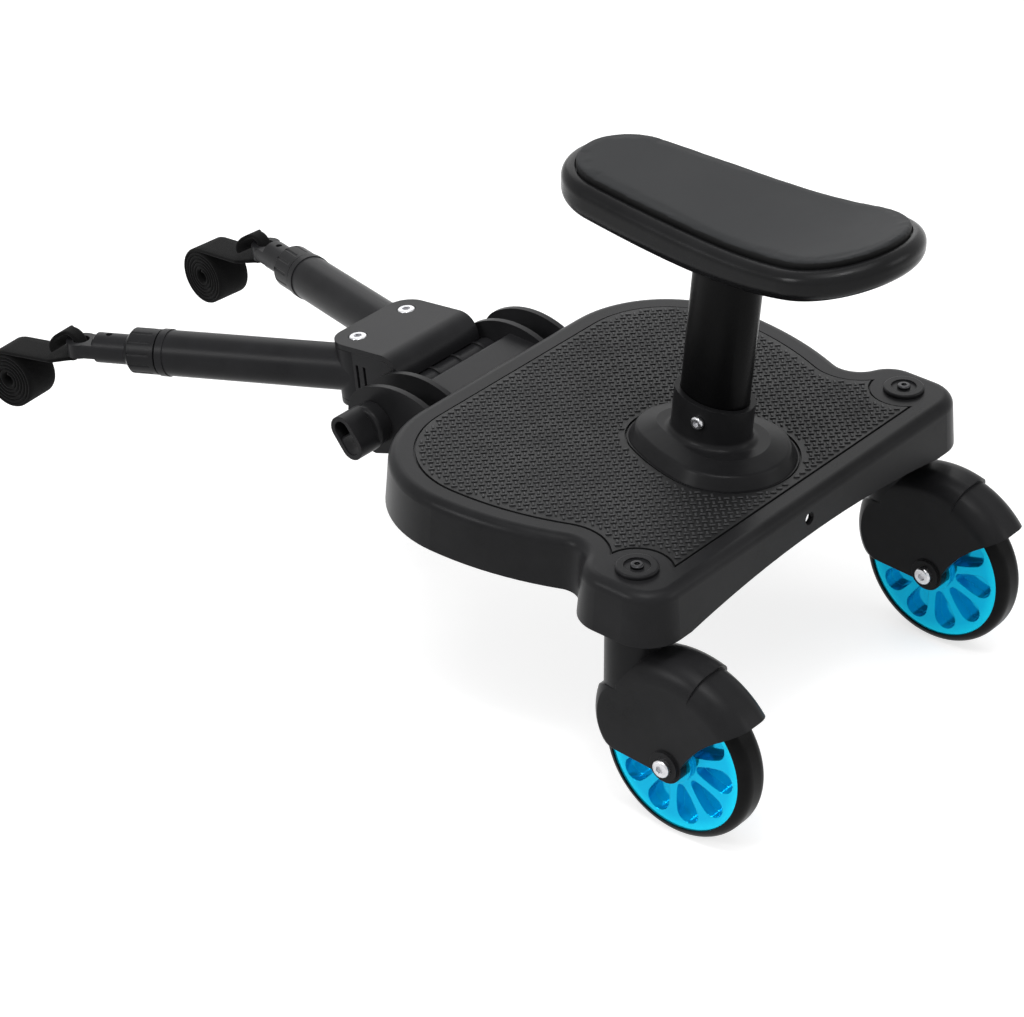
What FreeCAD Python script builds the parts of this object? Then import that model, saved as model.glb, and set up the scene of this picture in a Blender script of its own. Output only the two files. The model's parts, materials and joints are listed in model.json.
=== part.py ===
import FreeCAD
import Part
import math
import os

# Ride-on board that hangs behind a pushchair: a standing deck on two swivelling casters, a small seat
# on an oval post, and two telescopic arms with rolled straps on a hinged block.
# Millimetres. +X is the rider's right, +Y is forward to the pushchair, +Z is up, and the floor is z = 0.
# The model is drawn with y = 0 at the swivel axes and is moved at the end so that the origin lies on the
# floor under the middle of the object's box.

# Clearances
RUNNING = 0.06
SLIP = 0.15
FREE = 0.35

# Wheels and casters
TYRE_R = 60.0
TYRE_W = 25.0
TYRE_EDGE = 8.5
RIM_R = 53.0
RIM_T = 5.0
RIM_W = 22.0
HUB_R = 16.0
WEB_T = 6.0
PETALS = 10
PETAL_TIP_R = 8.6
PETAL_ROOT_R = 3.4
PETAL_EDGE = 2.5
BEARING_R = 11.0
BEARING_W = 7.0
SPACER_R = 6.5
AXLE_R = 4.0
AXLE_HEAD_R = 6.5
AXLE_HEAD_H = 4.0
AXLE_NUT_R = 7.5
AXLE_NUT_H = 5.0
SOCKET_R = 2.5
CASTER_INSET = 25.0
TRAIL = 42.0
FORK_GAP = 2.0
CHEEK_T = 6.5
AXLE_BOSS_R = 11.0
AXLE_BOSS_H = 2.0
CHEEK_BOSS_R = 13.0
TYRE_GAP = 6.0
FENDER_GAP = 12.0
FENDER_WALL = 4.0
FENDER_STEP = 3.0
FENDER_ROUND = 16.0
STEP_ANGLE = 106.0
TAIL_ANGLE = 147.0
SWEEP_MIDDLE = 0.64
SWEEP_ANGLE = 137.5
SWEEP_END = 1.3
FRONT_SLOT = 26.0
FRONT_ROUND = 24.0
STEM_R = 20.8
COLLAR_R = 26.0
COLLAR_DROP = 6.0
KING_PIN_R = 6.0
KING_PIN_DEPTH = 26.0
BUSH_WALL = 4.0
BUSH_FLANGE_R = 15.0
BUSH_FLANGE_T = 1.5
CAP_R = 14.5
CAP_T = 2.6
CAP_HOLLOW_R = 9.0
CAP_SCREW_R = 2.5
CAP_HEAD_R = 4.6
CAP_HEAD_H = 2.4
CAP_SCREW_L = 12.0

# Deck
SWING_GAP = 12.0
DECK_H = 38.0
DECK_DRAFT = 3.0
DECK_EDGE_R = 8.0
DECK_WALL = 4.0
DECK_TOP_T = 5.0
DECK_REACH = 247.0
DECK_REAR = 38.0
HALF_WIDTH = 175.0
EAR_OUT = 30.0
EAR_R = 28.0
EAR_FRONT = 12.5
NOTCH_R = 16.0
SIDE_R = 250.0
FRONT_R = 90.0
REAR_ARCH = 11.0
REAR_ARCH_HALF = 140.0
RIB_T = 3.0
RIB_PITCH = 62.0
RIB_LIFT = 6.0
SOCKET_WALL = 12.0
HANG_HOLE_R = 4.5
HANG_HOLE_X = -10.0
HANG_HOLE_DROP = 15.0
MAT_INSET = 20.0
MAT_T = 1.9
MAT_RECESS = 1.5
MAT_GROOVE = 1.4
MAT_CAP_R = 25.0
MAT_REAR = 0.0

# Seat base, post and seat
BASE_REAR_Y = 41.0
BASE_REAR_R = 48.0
BASE_NOSE_Y = 81.0
BASE_NOSE_R = 36.0
BASE_SIDE_R = 160.0
BASE_RIM_H = 9.0
BASE_SLOPE = 19.0
BASE_SLOPE_H = 4.0
BASE_ROUND = 4.0
BASE_DRAFT = 5.0
COLLAR_FOOT_R = 5.0
BASE_MARGIN = 1.0
BASE_SCREWS = ((28.0, 30.0), (17.0, 90.0))
BASE_SCREW_R = 2.2
BASE_SCREW_GRIP = 7.0
BASE_HEAD_R = 4.5
BASE_HEAD_H = 3.0
POST_Y = 56.5
POST_RAKE = 4.8
POST_X = 36.0
POST_LONG = 52.0
POST_TIP_R = 14.3
POST_WALL = 3.0
POST_FOOT = 2.0
SOCKET_T = 4.0
SOCKET_H = 45.0
COLLAR_SCREW_H = 33.0
COLLAR_SCREW_Y = -4.0
COLLAR_SCREW_R = 3.0
COLLAR_HEAD_R = 4.8
COLLAR_HEAD_H = 3.0
PLUG_L = 28.0
SEAT_H = 188.0
SEAT_NOSE_Y = 126.0
SEAT_NOSE_R = 48.0
SEAT_REAR_Y = -37.0
SEAT_REAR_R = 59.5
SEAT_SIDE_R = 2000.0
SEAT_NOSE_RISE = 6.0
SEAT_TAIL_RISE = 21.0
SEAT_DEPTH = 26.0
SEAT_TAIL_DEPTH = 22.0
SEAT_LIP_R = 8.0
SEAT_UNDER_R = 11.0
SEAT_LIP = 9.0
SEAT_WALL = 4.0
SEAT_FLOOR = 6.0
PAD_T = 7.0
PAD_SINK = 5.0
PAD_ROUND = 2.5
SEAT_SCREW_R = 2.0
SEAT_SCREW_GRIP = 14.0
SEAT_HEAD_R = 4.0
SEAT_HEAD_H = 2.2
SEAT_HEAD_SINK = 1.6
SEAT_SCREW_Y = 15.0

# Hinge at the front of the deck
HINGE_OUT = 48.0
HINGE_UP = 3.0
SHAFT_R = 5.0
LOBE_T = 4.5
LOBE_INNER = 50.6
LOBE_OUTER = 74.3
LOBE_NOSE_R = 26.0
LOBE_HUMP_R = 69.0
LOBE_TOP = 33.0
LOBE_ROOT = 16.0
LOBE_FLOOR_T = 6.0
LOBE_FLOOR_L = 30.0
LEDGE_DROP = 10.0
LEDGE_GAP = 3.0
LEDGE_T = 5.0
LEDGE_ROUND = 4.0
NUT_R = 9.0
NUT_H = 8.0
SHAFT_TAIL = 3.0
KNOB_R = 16.0
KNOB_SKIRT_L = 12.0
KNOB_SKIRT_ROUND = 3.0
KNOB_GRIP_L = 18.0
KNOB_GRIP_LONG = 34.0
KNOB_GRIP_WIDE = 20.0
KNOB_WALL = 3.5
KNOB_POCKET = 13.0
KNOB_ANGLE = 40.0

# Block that carries the arms, drawn level and then pitched about the hinge shaft
RIG_PITCH = 7.3
BARREL_R = 14.0
BARREL_RINGS = 4
BARREL_RING = 1.3
BARREL_RING_T = 2.4
ARM_RISE = 8.0
PIVOT_X = 26.35
PIVOT_Y = 57.6
PIVOT_R = 4.0
KNUCKLE_R = 17.3
KNUCKLE_UP = 21.2
KNUCKLE_DOWN = 18.6
COVER_T = 4.2
COVER_ROLL = 16.0
COVER_REAR = 4.0
COVER_REAR_T = 4.0
FLOOR_T = 4.5
HOUSING_WALL = 3.5
WEB_HALF = 4.0
PIVOT_HEAD_R = 6.5
PIVOT_HEAD_H = 3.6
PIVOT_HEAD_SINK = 3.0
PIVOT_NUT_R = 7.5
PIVOT_NUT_H = 5.0
PIVOT_TAIL = 2.0
SLOT_W = 2.4
SLOT_H = 18.5
SLOT_LIFT = 3.0
WALL_SLOTS = (38.0, 45.0)

# Telescopic arms, measured along the arm from its pivot
ARM_ANGLE = 18.6
ARM_R = 17.2
ARM_WALL = 2.6
ARM_START = 24.0
ARM_END = 162.0
BAND_R = 17.9
BAND_L = 6.0
NOSE_R = 14.2
NOSE_L = 22.0
COLLAR_L = 26.0
COLLAR_GAP = 1.6
COLLAR_CHAMFER = 4.0
GRIP_GROOVES = 12
GROOVE_R = 1.6
GROOVE_DEEP = 0.6
INNER_R = 11.5
INNER_WALL = 2.5
INNER_END = 220.0
INNER_TAIL = 60.0
HEAD_L = 14.0
EYE_AT = 232.0
EYE_R = 11.5
EYE_HOLE_R = 6.5
EYE_T = 11.0
TUBE_CHAMFER = 2.5
INDEX_HOLE_R = 2.5
INDEX_AT = 207.0
GUIDE_L = 30.0

# Straps
STRAP_W = 30.0
STRAP_T = 2.4
STRAP_NECK = 11.0
STRAP_FLARE = 14.0
STRAP_YAW = 5.7
LOOP_R = 10.8
ROLL_R = 22.0
ROLL_FORWARD = 59.4
ROLL_DOWN = 34.3
ROLL_TURNS = 6
ROLL_GAP = 0.55
SEWN_ANGLE = 62.0

# Derived places
HALF_TRACK = HALF_WIDTH - CASTER_INSET
AXLE_Z = TYRE_R
FENDER_R = TYRE_R + FENDER_GAP + FENDER_WALL
DECK_Z = AXLE_Z + FENDER_R + SWING_GAP
DECK_TOP = DECK_Z + DECK_H
SEAT_Z = DECK_TOP + SEAT_H
HINGE_Y = DECK_REACH + HINGE_OUT
HINGE_Z = DECK_Z + HINGE_UP
EAR_X = HALF_TRACK + EAR_OUT
SLOT_HALF = TYRE_W / 2 + FORK_GAP
FORK_HALF = SLOT_HALF + CHEEK_T
HUB_W = 2 * (SLOT_HALF - FREE)
STEM_TOP = DECK_Z - BUSH_FLANGE_T - FREE
BUSH_R = KING_PIN_R + RUNNING + BUSH_WALL
CAP_Z = DECK_TOP + FREE
ARM_TOP = ARM_RISE + KNUCKLE_UP + FREE
COVER_TOP = ARM_TOP + COVER_T
FLOOR_TOP = ARM_RISE - KNUCKLE_DOWN - FREE
BLOCK_HALF = PIVOT_X + KNUCKLE_R
LOBE_FACE = LOBE_OUTER + LOBE_T / 2
POST_END = (SEAT_Z - PAD_SINK - SEAT_FLOOR - DECK_TOP) / math.cos(math.radians(POST_RAKE))

V = FreeCAD.Vector
X_AXIS = V(1, 0, 0)
Y_AXIS = V(0, 1, 0)
Z_AXIS = V(0, 0, 1)


# Basic solids

def box(x, y, z):
    return Part.makeBox(x[1] - x[0], y[1] - y[0], z[1] - z[0], V(x[0], y[0], z[0]))


def rod(base, axis, radius, length):
    return Part.makeCylinder(radius, length, base, axis)


def sleeve(base, axis, outer, inner, length):
    return rod(base, axis, outer, length).cut(rod(base, axis, inner, length))


def prism(wire, vector):
    return Part.Face(wire).extrude(vector)


def polygon(points):
    return Part.makePolygon(list(points) + [points[0]])


def hexagon(base, axis, radius, height):
    """Six-sided prism of the given corner radius that stands on base along axis."""
    corners = [V(radius * math.cos(k * math.pi / 3), radius * math.sin(k * math.pi / 3), 0) for k in range(6)]
    solid = prism(polygon(corners), V(0, 0, height))
    solid.Placement = FreeCAD.Placement(base, FreeCAD.Rotation(Z_AXIS, axis))
    return solid


def fused(shapes):
    return shapes[0].multiFuse(shapes[1:]).removeSplitter()


def turned(shape, base, axis, degrees):
    copy = shape.copy()
    copy.rotate(base, axis, degrees)
    return copy


def moved(shape, vector):
    copy = shape.copy()
    copy.translate(vector)
    return copy


# Outlines

def arc(centre, radius, start, end, z=0.0):
    """Arc edge in a level plane, from one angle to another in degrees."""
    def at(degrees):
        turn = math.radians(degrees)
        return V(centre[0] + radius * math.cos(turn), centre[1] + radius * math.sin(turn), z)
    return Part.Arc(at(start), at((start + end) / 2), at(end)).toShape()


def bearing_to(origin, target):
    return math.degrees(math.atan2(target[1] - origin[1], target[0] - origin[0]))


def circles_meet(first, first_r, second, second_r, side):
    """Point where two circles cross, on the given side of the line from the first to the second."""
    dx = second[0] - first[0]
    dy = second[1] - first[1]
    gap = math.hypot(dx, dy)
    along = (gap ** 2 + first_r ** 2 - second_r ** 2) / (2 * gap)
    off = side * math.sqrt(first_r ** 2 - along ** 2)
    return (first[0] + (along * dx - off * dy) / gap, first[1] + (along * dy + off * dx) / gap)


def joined(edges):
    """Closed wire through edges that follow each other, with straight lines across the gaps."""
    whole = []
    for edge, following in zip(edges, edges[1:] + edges[:1]):
        whole.append(edge)
        here = edge.lastVertex(True).Point
        there = following.firstVertex(True).Point
        if here.distanceToPoint(there) > 1e-6:
            whole.append(Part.LineSegment(here, there).toShape())
    return Part.Wire(whole)


def flipped(edge):
    """The edge mirrored to the other side of x = 0 and run the other way."""
    def across(point):
        return V(-point.x, point.y, point.z)
    first = edge.valueAt(edge.FirstParameter)
    middle = edge.valueAt((edge.FirstParameter + edge.LastParameter) / 2)
    last = edge.valueAt(edge.LastParameter)
    return Part.Arc(across(last), across(middle), across(first)).toShape()


def deck_outline(inset, z):
    """Plan of the deck: round ears over the casters, a notch before each, and a full round front."""
    rear = (EAR_X - EAR_R, EAR_R - DECK_REAR)
    ear = (EAR_X - EAR_R, EAR_FRONT)
    side = (HALF_WIDTH - SIDE_R, DECK_REACH - FRONT_R)
    front = (HALF_WIDTH - FRONT_R, DECK_REACH - FRONT_R)
    notch = circles_meet(ear, EAR_R + NOTCH_R, side, SIDE_R + NOTCH_R, -1)
    to_ear = bearing_to(notch, ear)
    to_side = bearing_to(notch, side)
    right = [
        arc(rear, EAR_R - inset, -90, 0, z),
        arc(ear, EAR_R - inset, 0, bearing_to(ear, notch), z),
        arc(notch, NOTCH_R + inset, to_ear % 360, to_side % 360, z),
        arc(side, SIDE_R - inset, bearing_to(side, notch), 0, z),
        arc(front, FRONT_R - inset, 0, 90, z),
    ]
    return joined(right + [flipped(edge) for edge in reversed(right)])


def egg(nose_y, nose_r, rear_y, rear_r, side_r, inset, z):
    """Egg-shaped plan: a nose and a rear circle joined by wide side arcs that touch both."""
    nose = (0.0, nose_y)
    rear = (0.0, rear_y)
    side = circles_meet(rear, side_r - rear_r, nose, side_r - nose_r, 1)
    at_rear = bearing_to(side, rear)
    at_nose = bearing_to(side, nose)
    right = arc(side, side_r - inset, at_rear, at_nose, z)
    edges = [
        right,
        arc(nose, nose_r - inset, at_nose, 180 - at_nose, z),
        flipped(right),
        arc(rear, rear_r - inset, 180 - at_rear, 360 + at_rear, z),
    ]
    return joined(edges)


def base_outline(inset, z):
    return egg(BASE_NOSE_Y, BASE_NOSE_R, BASE_REAR_Y, BASE_REAR_R, BASE_SIDE_R, inset, z)


def seat_outline(inset, z):
    return egg(SEAT_NOSE_Y, SEAT_NOSE_R, SEAT_REAR_Y, SEAT_REAR_R, SEAT_SIDE_R, inset, z)


# Deck

def caster_places():
    return [V(-HALF_TRACK, 0, 0), V(HALF_TRACK, 0, 0)]


def lobe_profile(x):
    """Side view of one hinge lobe: a long hump that runs out in a round nose about the shaft."""
    centre_drop = LOBE_HUMP_R - LOBE_TOP
    reach = LOBE_HUMP_R - LOBE_NOSE_R
    hump = (HINGE_Y - math.sqrt(reach ** 2 - centre_drop ** 2), HINGE_Z - centre_drop)
    shaft = (HINGE_Y, HINGE_Z)
    root_y = DECK_REACH - LOBE_ROOT
    root_z = hump[1] + math.sqrt(LOBE_HUMP_R ** 2 - (root_y - hump[0]) ** 2)
    to_nose = bearing_to(hump, shaft)
    start = bearing_to(hump, (root_y, root_z))

    def at(centre, radius, degrees):
        turn = math.radians(degrees)
        return V(x, centre[0] + radius * math.cos(turn), centre[1] + radius * math.sin(turn))

    top = Part.Arc(at(hump, LOBE_HUMP_R, start), at(hump, LOBE_HUMP_R, (start + to_nose) / 2),
                   at(hump, LOBE_HUMP_R, to_nose))
    nose = Part.Arc(at(shaft, LOBE_NOSE_R, to_nose), at(shaft, LOBE_NOSE_R, (to_nose - 90) / 2),
                    at(shaft, LOBE_NOSE_R, -90))
    foot = V(x, root_y, DECK_Z)
    back = Part.LineSegment(foot, at(hump, LOBE_HUMP_R, start))
    return joined([top.toShape(), nose.toShape(), back.toShape()])


def lobes():
    plates = []
    for x in (-LOBE_OUTER, -LOBE_INNER, LOBE_INNER, LOBE_OUTER):
        plates.append(prism(lobe_profile(x - LOBE_T / 2), V(LOBE_T, 0, 0)))
    for side in (-1, 1):
        floor = box(sorted((side * LOBE_INNER, side * LOBE_OUTER)),
                    (DECK_REACH - LOBE_ROOT, DECK_REACH + LOBE_FLOOR_L), (DECK_Z, DECK_Z + LOBE_FLOOR_T))
        plates.append(floor)
    return plates


def ledge():
    """Lower shelf between the inner lobes, behind the barrel of the arm block."""
    front = HINGE_Y - BARREL_R - LEDGE_GAP
    half = LOBE_INNER
    top = DECK_TOP - LEDGE_DROP
    shelf = box((-half, half), (DECK_REACH - LOBE_ROOT, front), (DECK_Z, top))
    nose = [edge for edge in shelf.Edges
            if abs(edge.CenterOfMass.y - front) < 1e-6 and abs(edge.CenterOfMass.z - top) < 1e-6]
    shelf = shelf.makeFillet(LEDGE_ROUND, nose)
    hollow = box((-half + LOBE_T, half - LOBE_T), (DECK_REACH - LOBE_ROOT, front - LEDGE_T),
                 (DECK_Z - 1, top - LEDGE_T))
    return shelf.cut(hollow)


def ribs():
    """Grid of webs under the deck, set back from its lower edge and clear of the hang hole."""
    webs = []
    low = DECK_Z + RIB_LIFT
    high = DECK_TOP
    columns = int(HALF_WIDTH / RIB_PITCH)
    for k in range(-columns, columns + 1):
        x = k * RIB_PITCH
        rear = -DECK_REAR if k else 0.0
        webs.append(box((x - RIB_T / 2, x + RIB_T / 2), (rear, DECK_REACH), (low, high)))
    rows = int(DECK_REACH / RIB_PITCH)
    for k in range(rows + 1):
        y = k * RIB_PITCH
        webs.append(box((-EAR_X, EAR_X), (y - RIB_T / 2, y + RIB_T / 2), (low, high)))
    return webs


def screw_places():
    return [V(side * x, y, 0) for x, y in BASE_SCREWS for side in (-1, 1)]


def mat_area(inset, grow, z, height):
    """Tread area of the deck: its outline drawn in, less the rear strip, the caps and the seat base."""
    area = prism(deck_outline(inset, z), V(0, 0, height))
    for place in caster_places():
        area = area.cut(rod(place + V(0, 0, z - 1), Z_AXIS, MAT_CAP_R - grow, height + 2))
    strip = -DECK_REAR + MAT_INSET + MAT_REAR
    area = area.cut(box((-EAR_X, EAR_X), (-2 * DECK_REAR, strip - grow), (z - 1, z + height + 1)))
    return area.cut(prism(base_outline(grow - BASE_MARGIN - MAT_GROOVE, z - 1), V(0, 0, height + 2)))


def make_deck():
    bottom = deck_outline(0, DECK_Z)
    top = deck_outline(DECK_DRAFT, DECK_TOP)
    block = Part.makeLoft([bottom, top], True, True)
    rim = [edge for edge in block.Edges if edge.BoundBox.ZMin > DECK_TOP - 1e-3]
    block = block.makeFillet(DECK_EDGE_R, rim)
    hollow = Part.makeLoft([deck_outline(DECK_WALL, DECK_Z - 1),
                            deck_outline(DECK_WALL + DECK_DRAFT, DECK_TOP - DECK_TOP_T)], True, True)
    for web in ribs():
        hollow = hollow.cut(web)
    for place in caster_places():
        hollow = hollow.cut(rod(place + V(0, 0, DECK_Z), Z_AXIS, BUSH_R + SOCKET_WALL, DECK_H))
    block = block.cut(hollow)
    block = fused([block, ledge()] + lobes())
    arch_r = (REAR_ARCH_HALF ** 2 + REAR_ARCH ** 2) / (2 * REAR_ARCH)
    block = block.cut(rod(V(0, -2 * DECK_REAR, DECK_Z + REAR_ARCH - arch_r), Y_AXIS, arch_r,
                          DECK_REAR + DECK_WALL + 2))
    block = block.cut(mat_area(MAT_INSET, MAT_GROOVE, DECK_TOP - MAT_RECESS, MAT_RECESS + 1))
    for place in caster_places():
        block = block.cut(rod(place + V(0, 0, DECK_Z - 1), Z_AXIS, BUSH_R, DECK_H + 2))
    for place in screw_places():
        block = block.cut(rod(place + V(0, 0, DECK_TOP - DECK_TOP_T - 1), Z_AXIS,
                              BASE_SCREW_R + SLIP, DECK_TOP_T + 2))
    block = block.cut(rod(V(-LOBE_FACE - 1, HINGE_Y, HINGE_Z), X_AXIS, SHAFT_R + SLIP, 2 * LOBE_FACE + 2))
    block = block.cut(rod(V(HANG_HOLE_X, -2 * DECK_REAR, DECK_TOP - HANG_HOLE_DROP), Y_AXIS,
                          HANG_HOLE_R, DECK_REAR + DECK_WALL + DECK_DRAFT))
    return block.removeSplitter()


def make_mat():
    return mat_area(MAT_INSET + MAT_GROOVE, 0.0, DECK_TOP - MAT_RECESS, MAT_T)


def make_bushes():
    pieces = []
    for place in caster_places():
        barrel = rod(place + V(0, 0, DECK_Z), Z_AXIS, BUSH_R, DECK_H)
        flange = rod(place + V(0, 0, DECK_Z - BUSH_FLANGE_T), Z_AXIS, BUSH_FLANGE_R, BUSH_FLANGE_T)
        bore = rod(place + V(0, 0, DECK_Z - BUSH_FLANGE_T - 1), Z_AXIS, KING_PIN_R + RUNNING, DECK_H + 9)
        pieces.append(barrel.fuse(flange).cut(bore))
    return Part.makeCompound(pieces)


# Seat

def oval(grow, low, high):
    """Oval prism about the raked post axis, between two heights along the axis over the deck."""
    z = DECK_TOP + low
    tip = POST_LONG / 2 - POST_TIP_R
    side_r = (POST_X ** 2 / 4 - POST_TIP_R ** 2 + tip ** 2) / (POST_X - 2 * POST_TIP_R)
    side = side_r - POST_X / 2
    lean = bearing_to((0, 0), (side, tip))
    edges = [
        arc((-side, POST_Y), side_r + grow, -lean, lean, z),
        arc((0, POST_Y + tip), POST_TIP_R + grow, lean, 180 - lean, z),
        arc((side, POST_Y), side_r + grow, 180 - lean, 180 + lean, z),
        arc((0, POST_Y - tip), POST_TIP_R + grow, 180 + lean, 360 - lean, z),
    ]
    solid = prism(Part.Wire(edges), V(0, 0, high - low))
    return turned(solid, V(0, POST_Y, DECK_TOP), X_AXIS, POST_RAKE)


def on_post(point):
    """Point given in the upright post's own frame, carried to its raked place."""
    place = FreeCAD.Placement(V(0, 0, 0), FreeCAD.Rotation(X_AXIS, POST_RAKE), V(0, POST_Y, DECK_TOP))
    return place.multVec(point)


POST_DIRECTION = FreeCAD.Rotation(X_AXIS, POST_RAKE).multVec(Z_AXIS)


def make_seat_base():
    level = DECK_TOP + BASE_RIM_H
    rim = Part.makeLoft([base_outline(0, DECK_TOP), base_outline(BASE_DRAFT, level)], True, True)
    slope = Part.makeLoft([base_outline(BASE_DRAFT, level), base_outline(BASE_SLOPE, level + BASE_SLOPE_H)],
                          True, True)
    foot = rim.fuse(slope)
    crease = [edge for edge in foot.Edges
              if abs(edge.BoundBox.ZMin - level) < 1e-3 and abs(edge.BoundBox.ZMax - level) < 1e-3]
    foot = foot.makeFillet(BASE_ROUND, crease)
    collar = oval(SLIP + SOCKET_T, BASE_RIM_H / 2, SOCKET_H)
    foot = foot.fuse(collar)
    ring = oval(SLIP + SOCKET_T + FREE, BASE_RIM_H / 2, SOCKET_H / 2)
    crown = level + BASE_SLOPE_H
    seam = [edge for edge in foot.Edges
            if abs(edge.BoundBox.ZMin - crown) < 1e-3 and abs(edge.BoundBox.ZMax - crown) < 1e-3
            and ring.isInside(edge.CenterOfMass, 1e-3, True) and edge.BoundBox.XLength < POST_LONG]
    foot = foot.makeFillet(COLLAR_FOOT_R, seam)
    foot = foot.cut(oval(SLIP, POST_FOOT, SOCKET_H + BASE_SLOPE_H))
    half = POST_X / 2 + SLIP + SOCKET_T
    foot = foot.cut(rod(on_post(V(-half - 1, POST_Y + COLLAR_SCREW_Y, DECK_TOP + COLLAR_SCREW_H)), X_AXIS,
                        COLLAR_SCREW_R + SLIP, 2 * half + 2))
    for place in screw_places():
        foot = foot.cut(rod(place + V(0, 0, DECK_TOP - 1), Z_AXIS, BASE_SCREW_R, BASE_SCREW_GRIP + 1 + SLIP))
    return foot


def make_base_screws():
    screws = []
    under = DECK_TOP - DECK_TOP_T
    for place in screw_places():
        shank = rod(place + V(0, 0, under), Z_AXIS, BASE_SCREW_R - RUNNING, DECK_TOP_T + BASE_SCREW_GRIP)
        head = rod(place + V(0, 0, under - BASE_HEAD_H), Z_AXIS, BASE_HEAD_R, BASE_HEAD_H)
        screws.append(shank.fuse(head))
    return Part.makeCompound(screws)


def make_collar_screw():
    half = POST_X / 2 + SLIP + SOCKET_T
    start = on_post(V(-half, POST_Y + COLLAR_SCREW_Y, DECK_TOP + COLLAR_SCREW_H))
    shank = rod(start, X_AXIS, COLLAR_SCREW_R, 2 * half)
    head = rod(start, -X_AXIS, COLLAR_HEAD_R, COLLAR_HEAD_H)
    rim = [edge for edge in head.Edges if edge.BoundBox.XMax < start.x - COLLAR_HEAD_H / 2
           and abs(edge.BoundBox.XMin - edge.BoundBox.XMax) < 1e-6]
    head = head.makeFillet(COLLAR_HEAD_H / 2, rim)
    socket = hexagon(start + V(-COLLAR_HEAD_H - 1, 0, 0), X_AXIS, COLLAR_HEAD_R / 2, 1 + COLLAR_HEAD_H * 0.6)
    return shank.fuse(head).cut(socket)


def make_post():
    tube = oval(0, POST_FOOT, POST_END).cut(oval(-POST_WALL, POST_FOOT - 1, POST_END + 1))
    half = POST_X / 2 + 1
    return tube.cut(rod(on_post(V(-half, POST_Y + COLLAR_SCREW_Y, DECK_TOP + COLLAR_SCREW_H)), X_AXIS,
                        COLLAR_SCREW_R + SLIP, 2 * half))


def seat_screw_places():
    return [on_post(V(0, POST_Y + side * SEAT_SCREW_Y, DECK_TOP + POST_END)) for side in (-1, 1)]


def make_plug():
    plug = oval(-POST_WALL - SLIP, POST_END - PLUG_L, POST_END)
    for place in seat_screw_places():
        plug = plug.cut(rod(place - POST_DIRECTION * (SEAT_SCREW_GRIP + 1), POST_DIRECTION,
                            SEAT_SCREW_R + RUNNING, SEAT_SCREW_GRIP + 2))
    return plug


def saddle_curve(drop, tail_drop):
    """Side view of the seat's top, lowered by drop in front and by tail_drop at its upturned rear."""
    nose = SEAT_NOSE_Y + SEAT_NOSE_R
    tail = SEAT_REAR_Y - SEAT_REAR_R
    points = [
        V(0, nose + 5, SEAT_Z + SEAT_NOSE_RISE - drop),
        V(0, SEAT_NOSE_Y, SEAT_Z + SEAT_NOSE_RISE / 2 - drop),
        V(0, POST_Y, SEAT_Z - drop),
        V(0, SEAT_REAR_Y + SEAT_REAR_R / 2, SEAT_Z - (drop + tail_drop) / 2),
        V(0, SEAT_REAR_Y - SEAT_REAR_R / 3, SEAT_Z + SEAT_TAIL_RISE / 3 - tail_drop),
        V(0, tail - 5, SEAT_Z + SEAT_TAIL_RISE - tail_drop),
    ]
    curve = Part.BSplineCurve()
    curve.interpolate(points)
    return curve.toShape()


def saddle_slab(upper, lower, lower_tail):
    """Everything between two curves that follow the seat's top, wider than the seat."""
    top = saddle_curve(upper, upper)
    under = saddle_curve(lower, lower_tail)
    ends = [Part.LineSegment(a.Vertexes[k].Point, b.Vertexes[k].Point).toShape()
            for a, b, k in ((top, under, 0), (top, under, -1))]
    face = Part.Face(Part.Wire(Part.__sortEdges__([top, under] + ends)))
    half = 2 * SEAT_REAR_R
    face.translate(V(-half, 0, 0))
    return face.extrude(V(2 * half, 0, 0))


def seat_column(inset):
    low = SEAT_Z - 2 * SEAT_DEPTH
    return prism(seat_outline(inset, low), V(0, 0, 4 * SEAT_DEPTH))


def make_seat_shell():
    body = seat_column(0).common(saddle_slab(0, SEAT_DEPTH, SEAT_TAIL_DEPTH))
    faces = sorted(body.Faces, key=lambda face: face.CenterOfMass.z)
    body = body.makeFillet(SEAT_UNDER_R, faces[0].Edges)
    faces = sorted(body.Faces, key=lambda face: face.CenterOfMass.z)
    body = body.makeFillet(SEAT_LIP_R, faces[-1].Edges)
    body = body.cut(seat_column(SEAT_LIP).common(saddle_slab(-SEAT_DEPTH, PAD_SINK, PAD_SINK)))
    ceiling = PAD_SINK + SEAT_WALL
    hollow = seat_column(SEAT_LIP + SEAT_WALL).common(saddle_slab(ceiling, 2 * SEAT_DEPTH, 2 * SEAT_DEPTH))
    hollow = hollow.cut(oval(SLIP + SOCKET_T, 0, POST_END + SEAT_DEPTH))
    web_half = RIB_T / 2
    hollow = hollow.cut(box((-web_half, web_half), (-2 * SEAT_REAR_R, 2 * SEAT_NOSE_Y), (0, 2 * SEAT_Z)))
    for y in (SEAT_REAR_Y, POST_Y, SEAT_NOSE_Y - SEAT_NOSE_R / 2):
        hollow = hollow.cut(box((-SEAT_REAR_R, SEAT_REAR_R), (y - web_half, y + web_half), (0, 2 * SEAT_Z)))
    body = body.cut(hollow)
    body = body.cut(oval(SLIP, 0, POST_END))
    for place in seat_screw_places():
        body = body.cut(rod(place - POST_DIRECTION, POST_DIRECTION, SEAT_SCREW_R + SLIP, SEAT_DEPTH))
        seat = place + POST_DIRECTION * (SEAT_FLOOR - SEAT_HEAD_H - SEAT_HEAD_SINK)
        body = body.cut(rod(seat, POST_DIRECTION, SEAT_HEAD_R + SLIP, SEAT_DEPTH))
    return body


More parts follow.
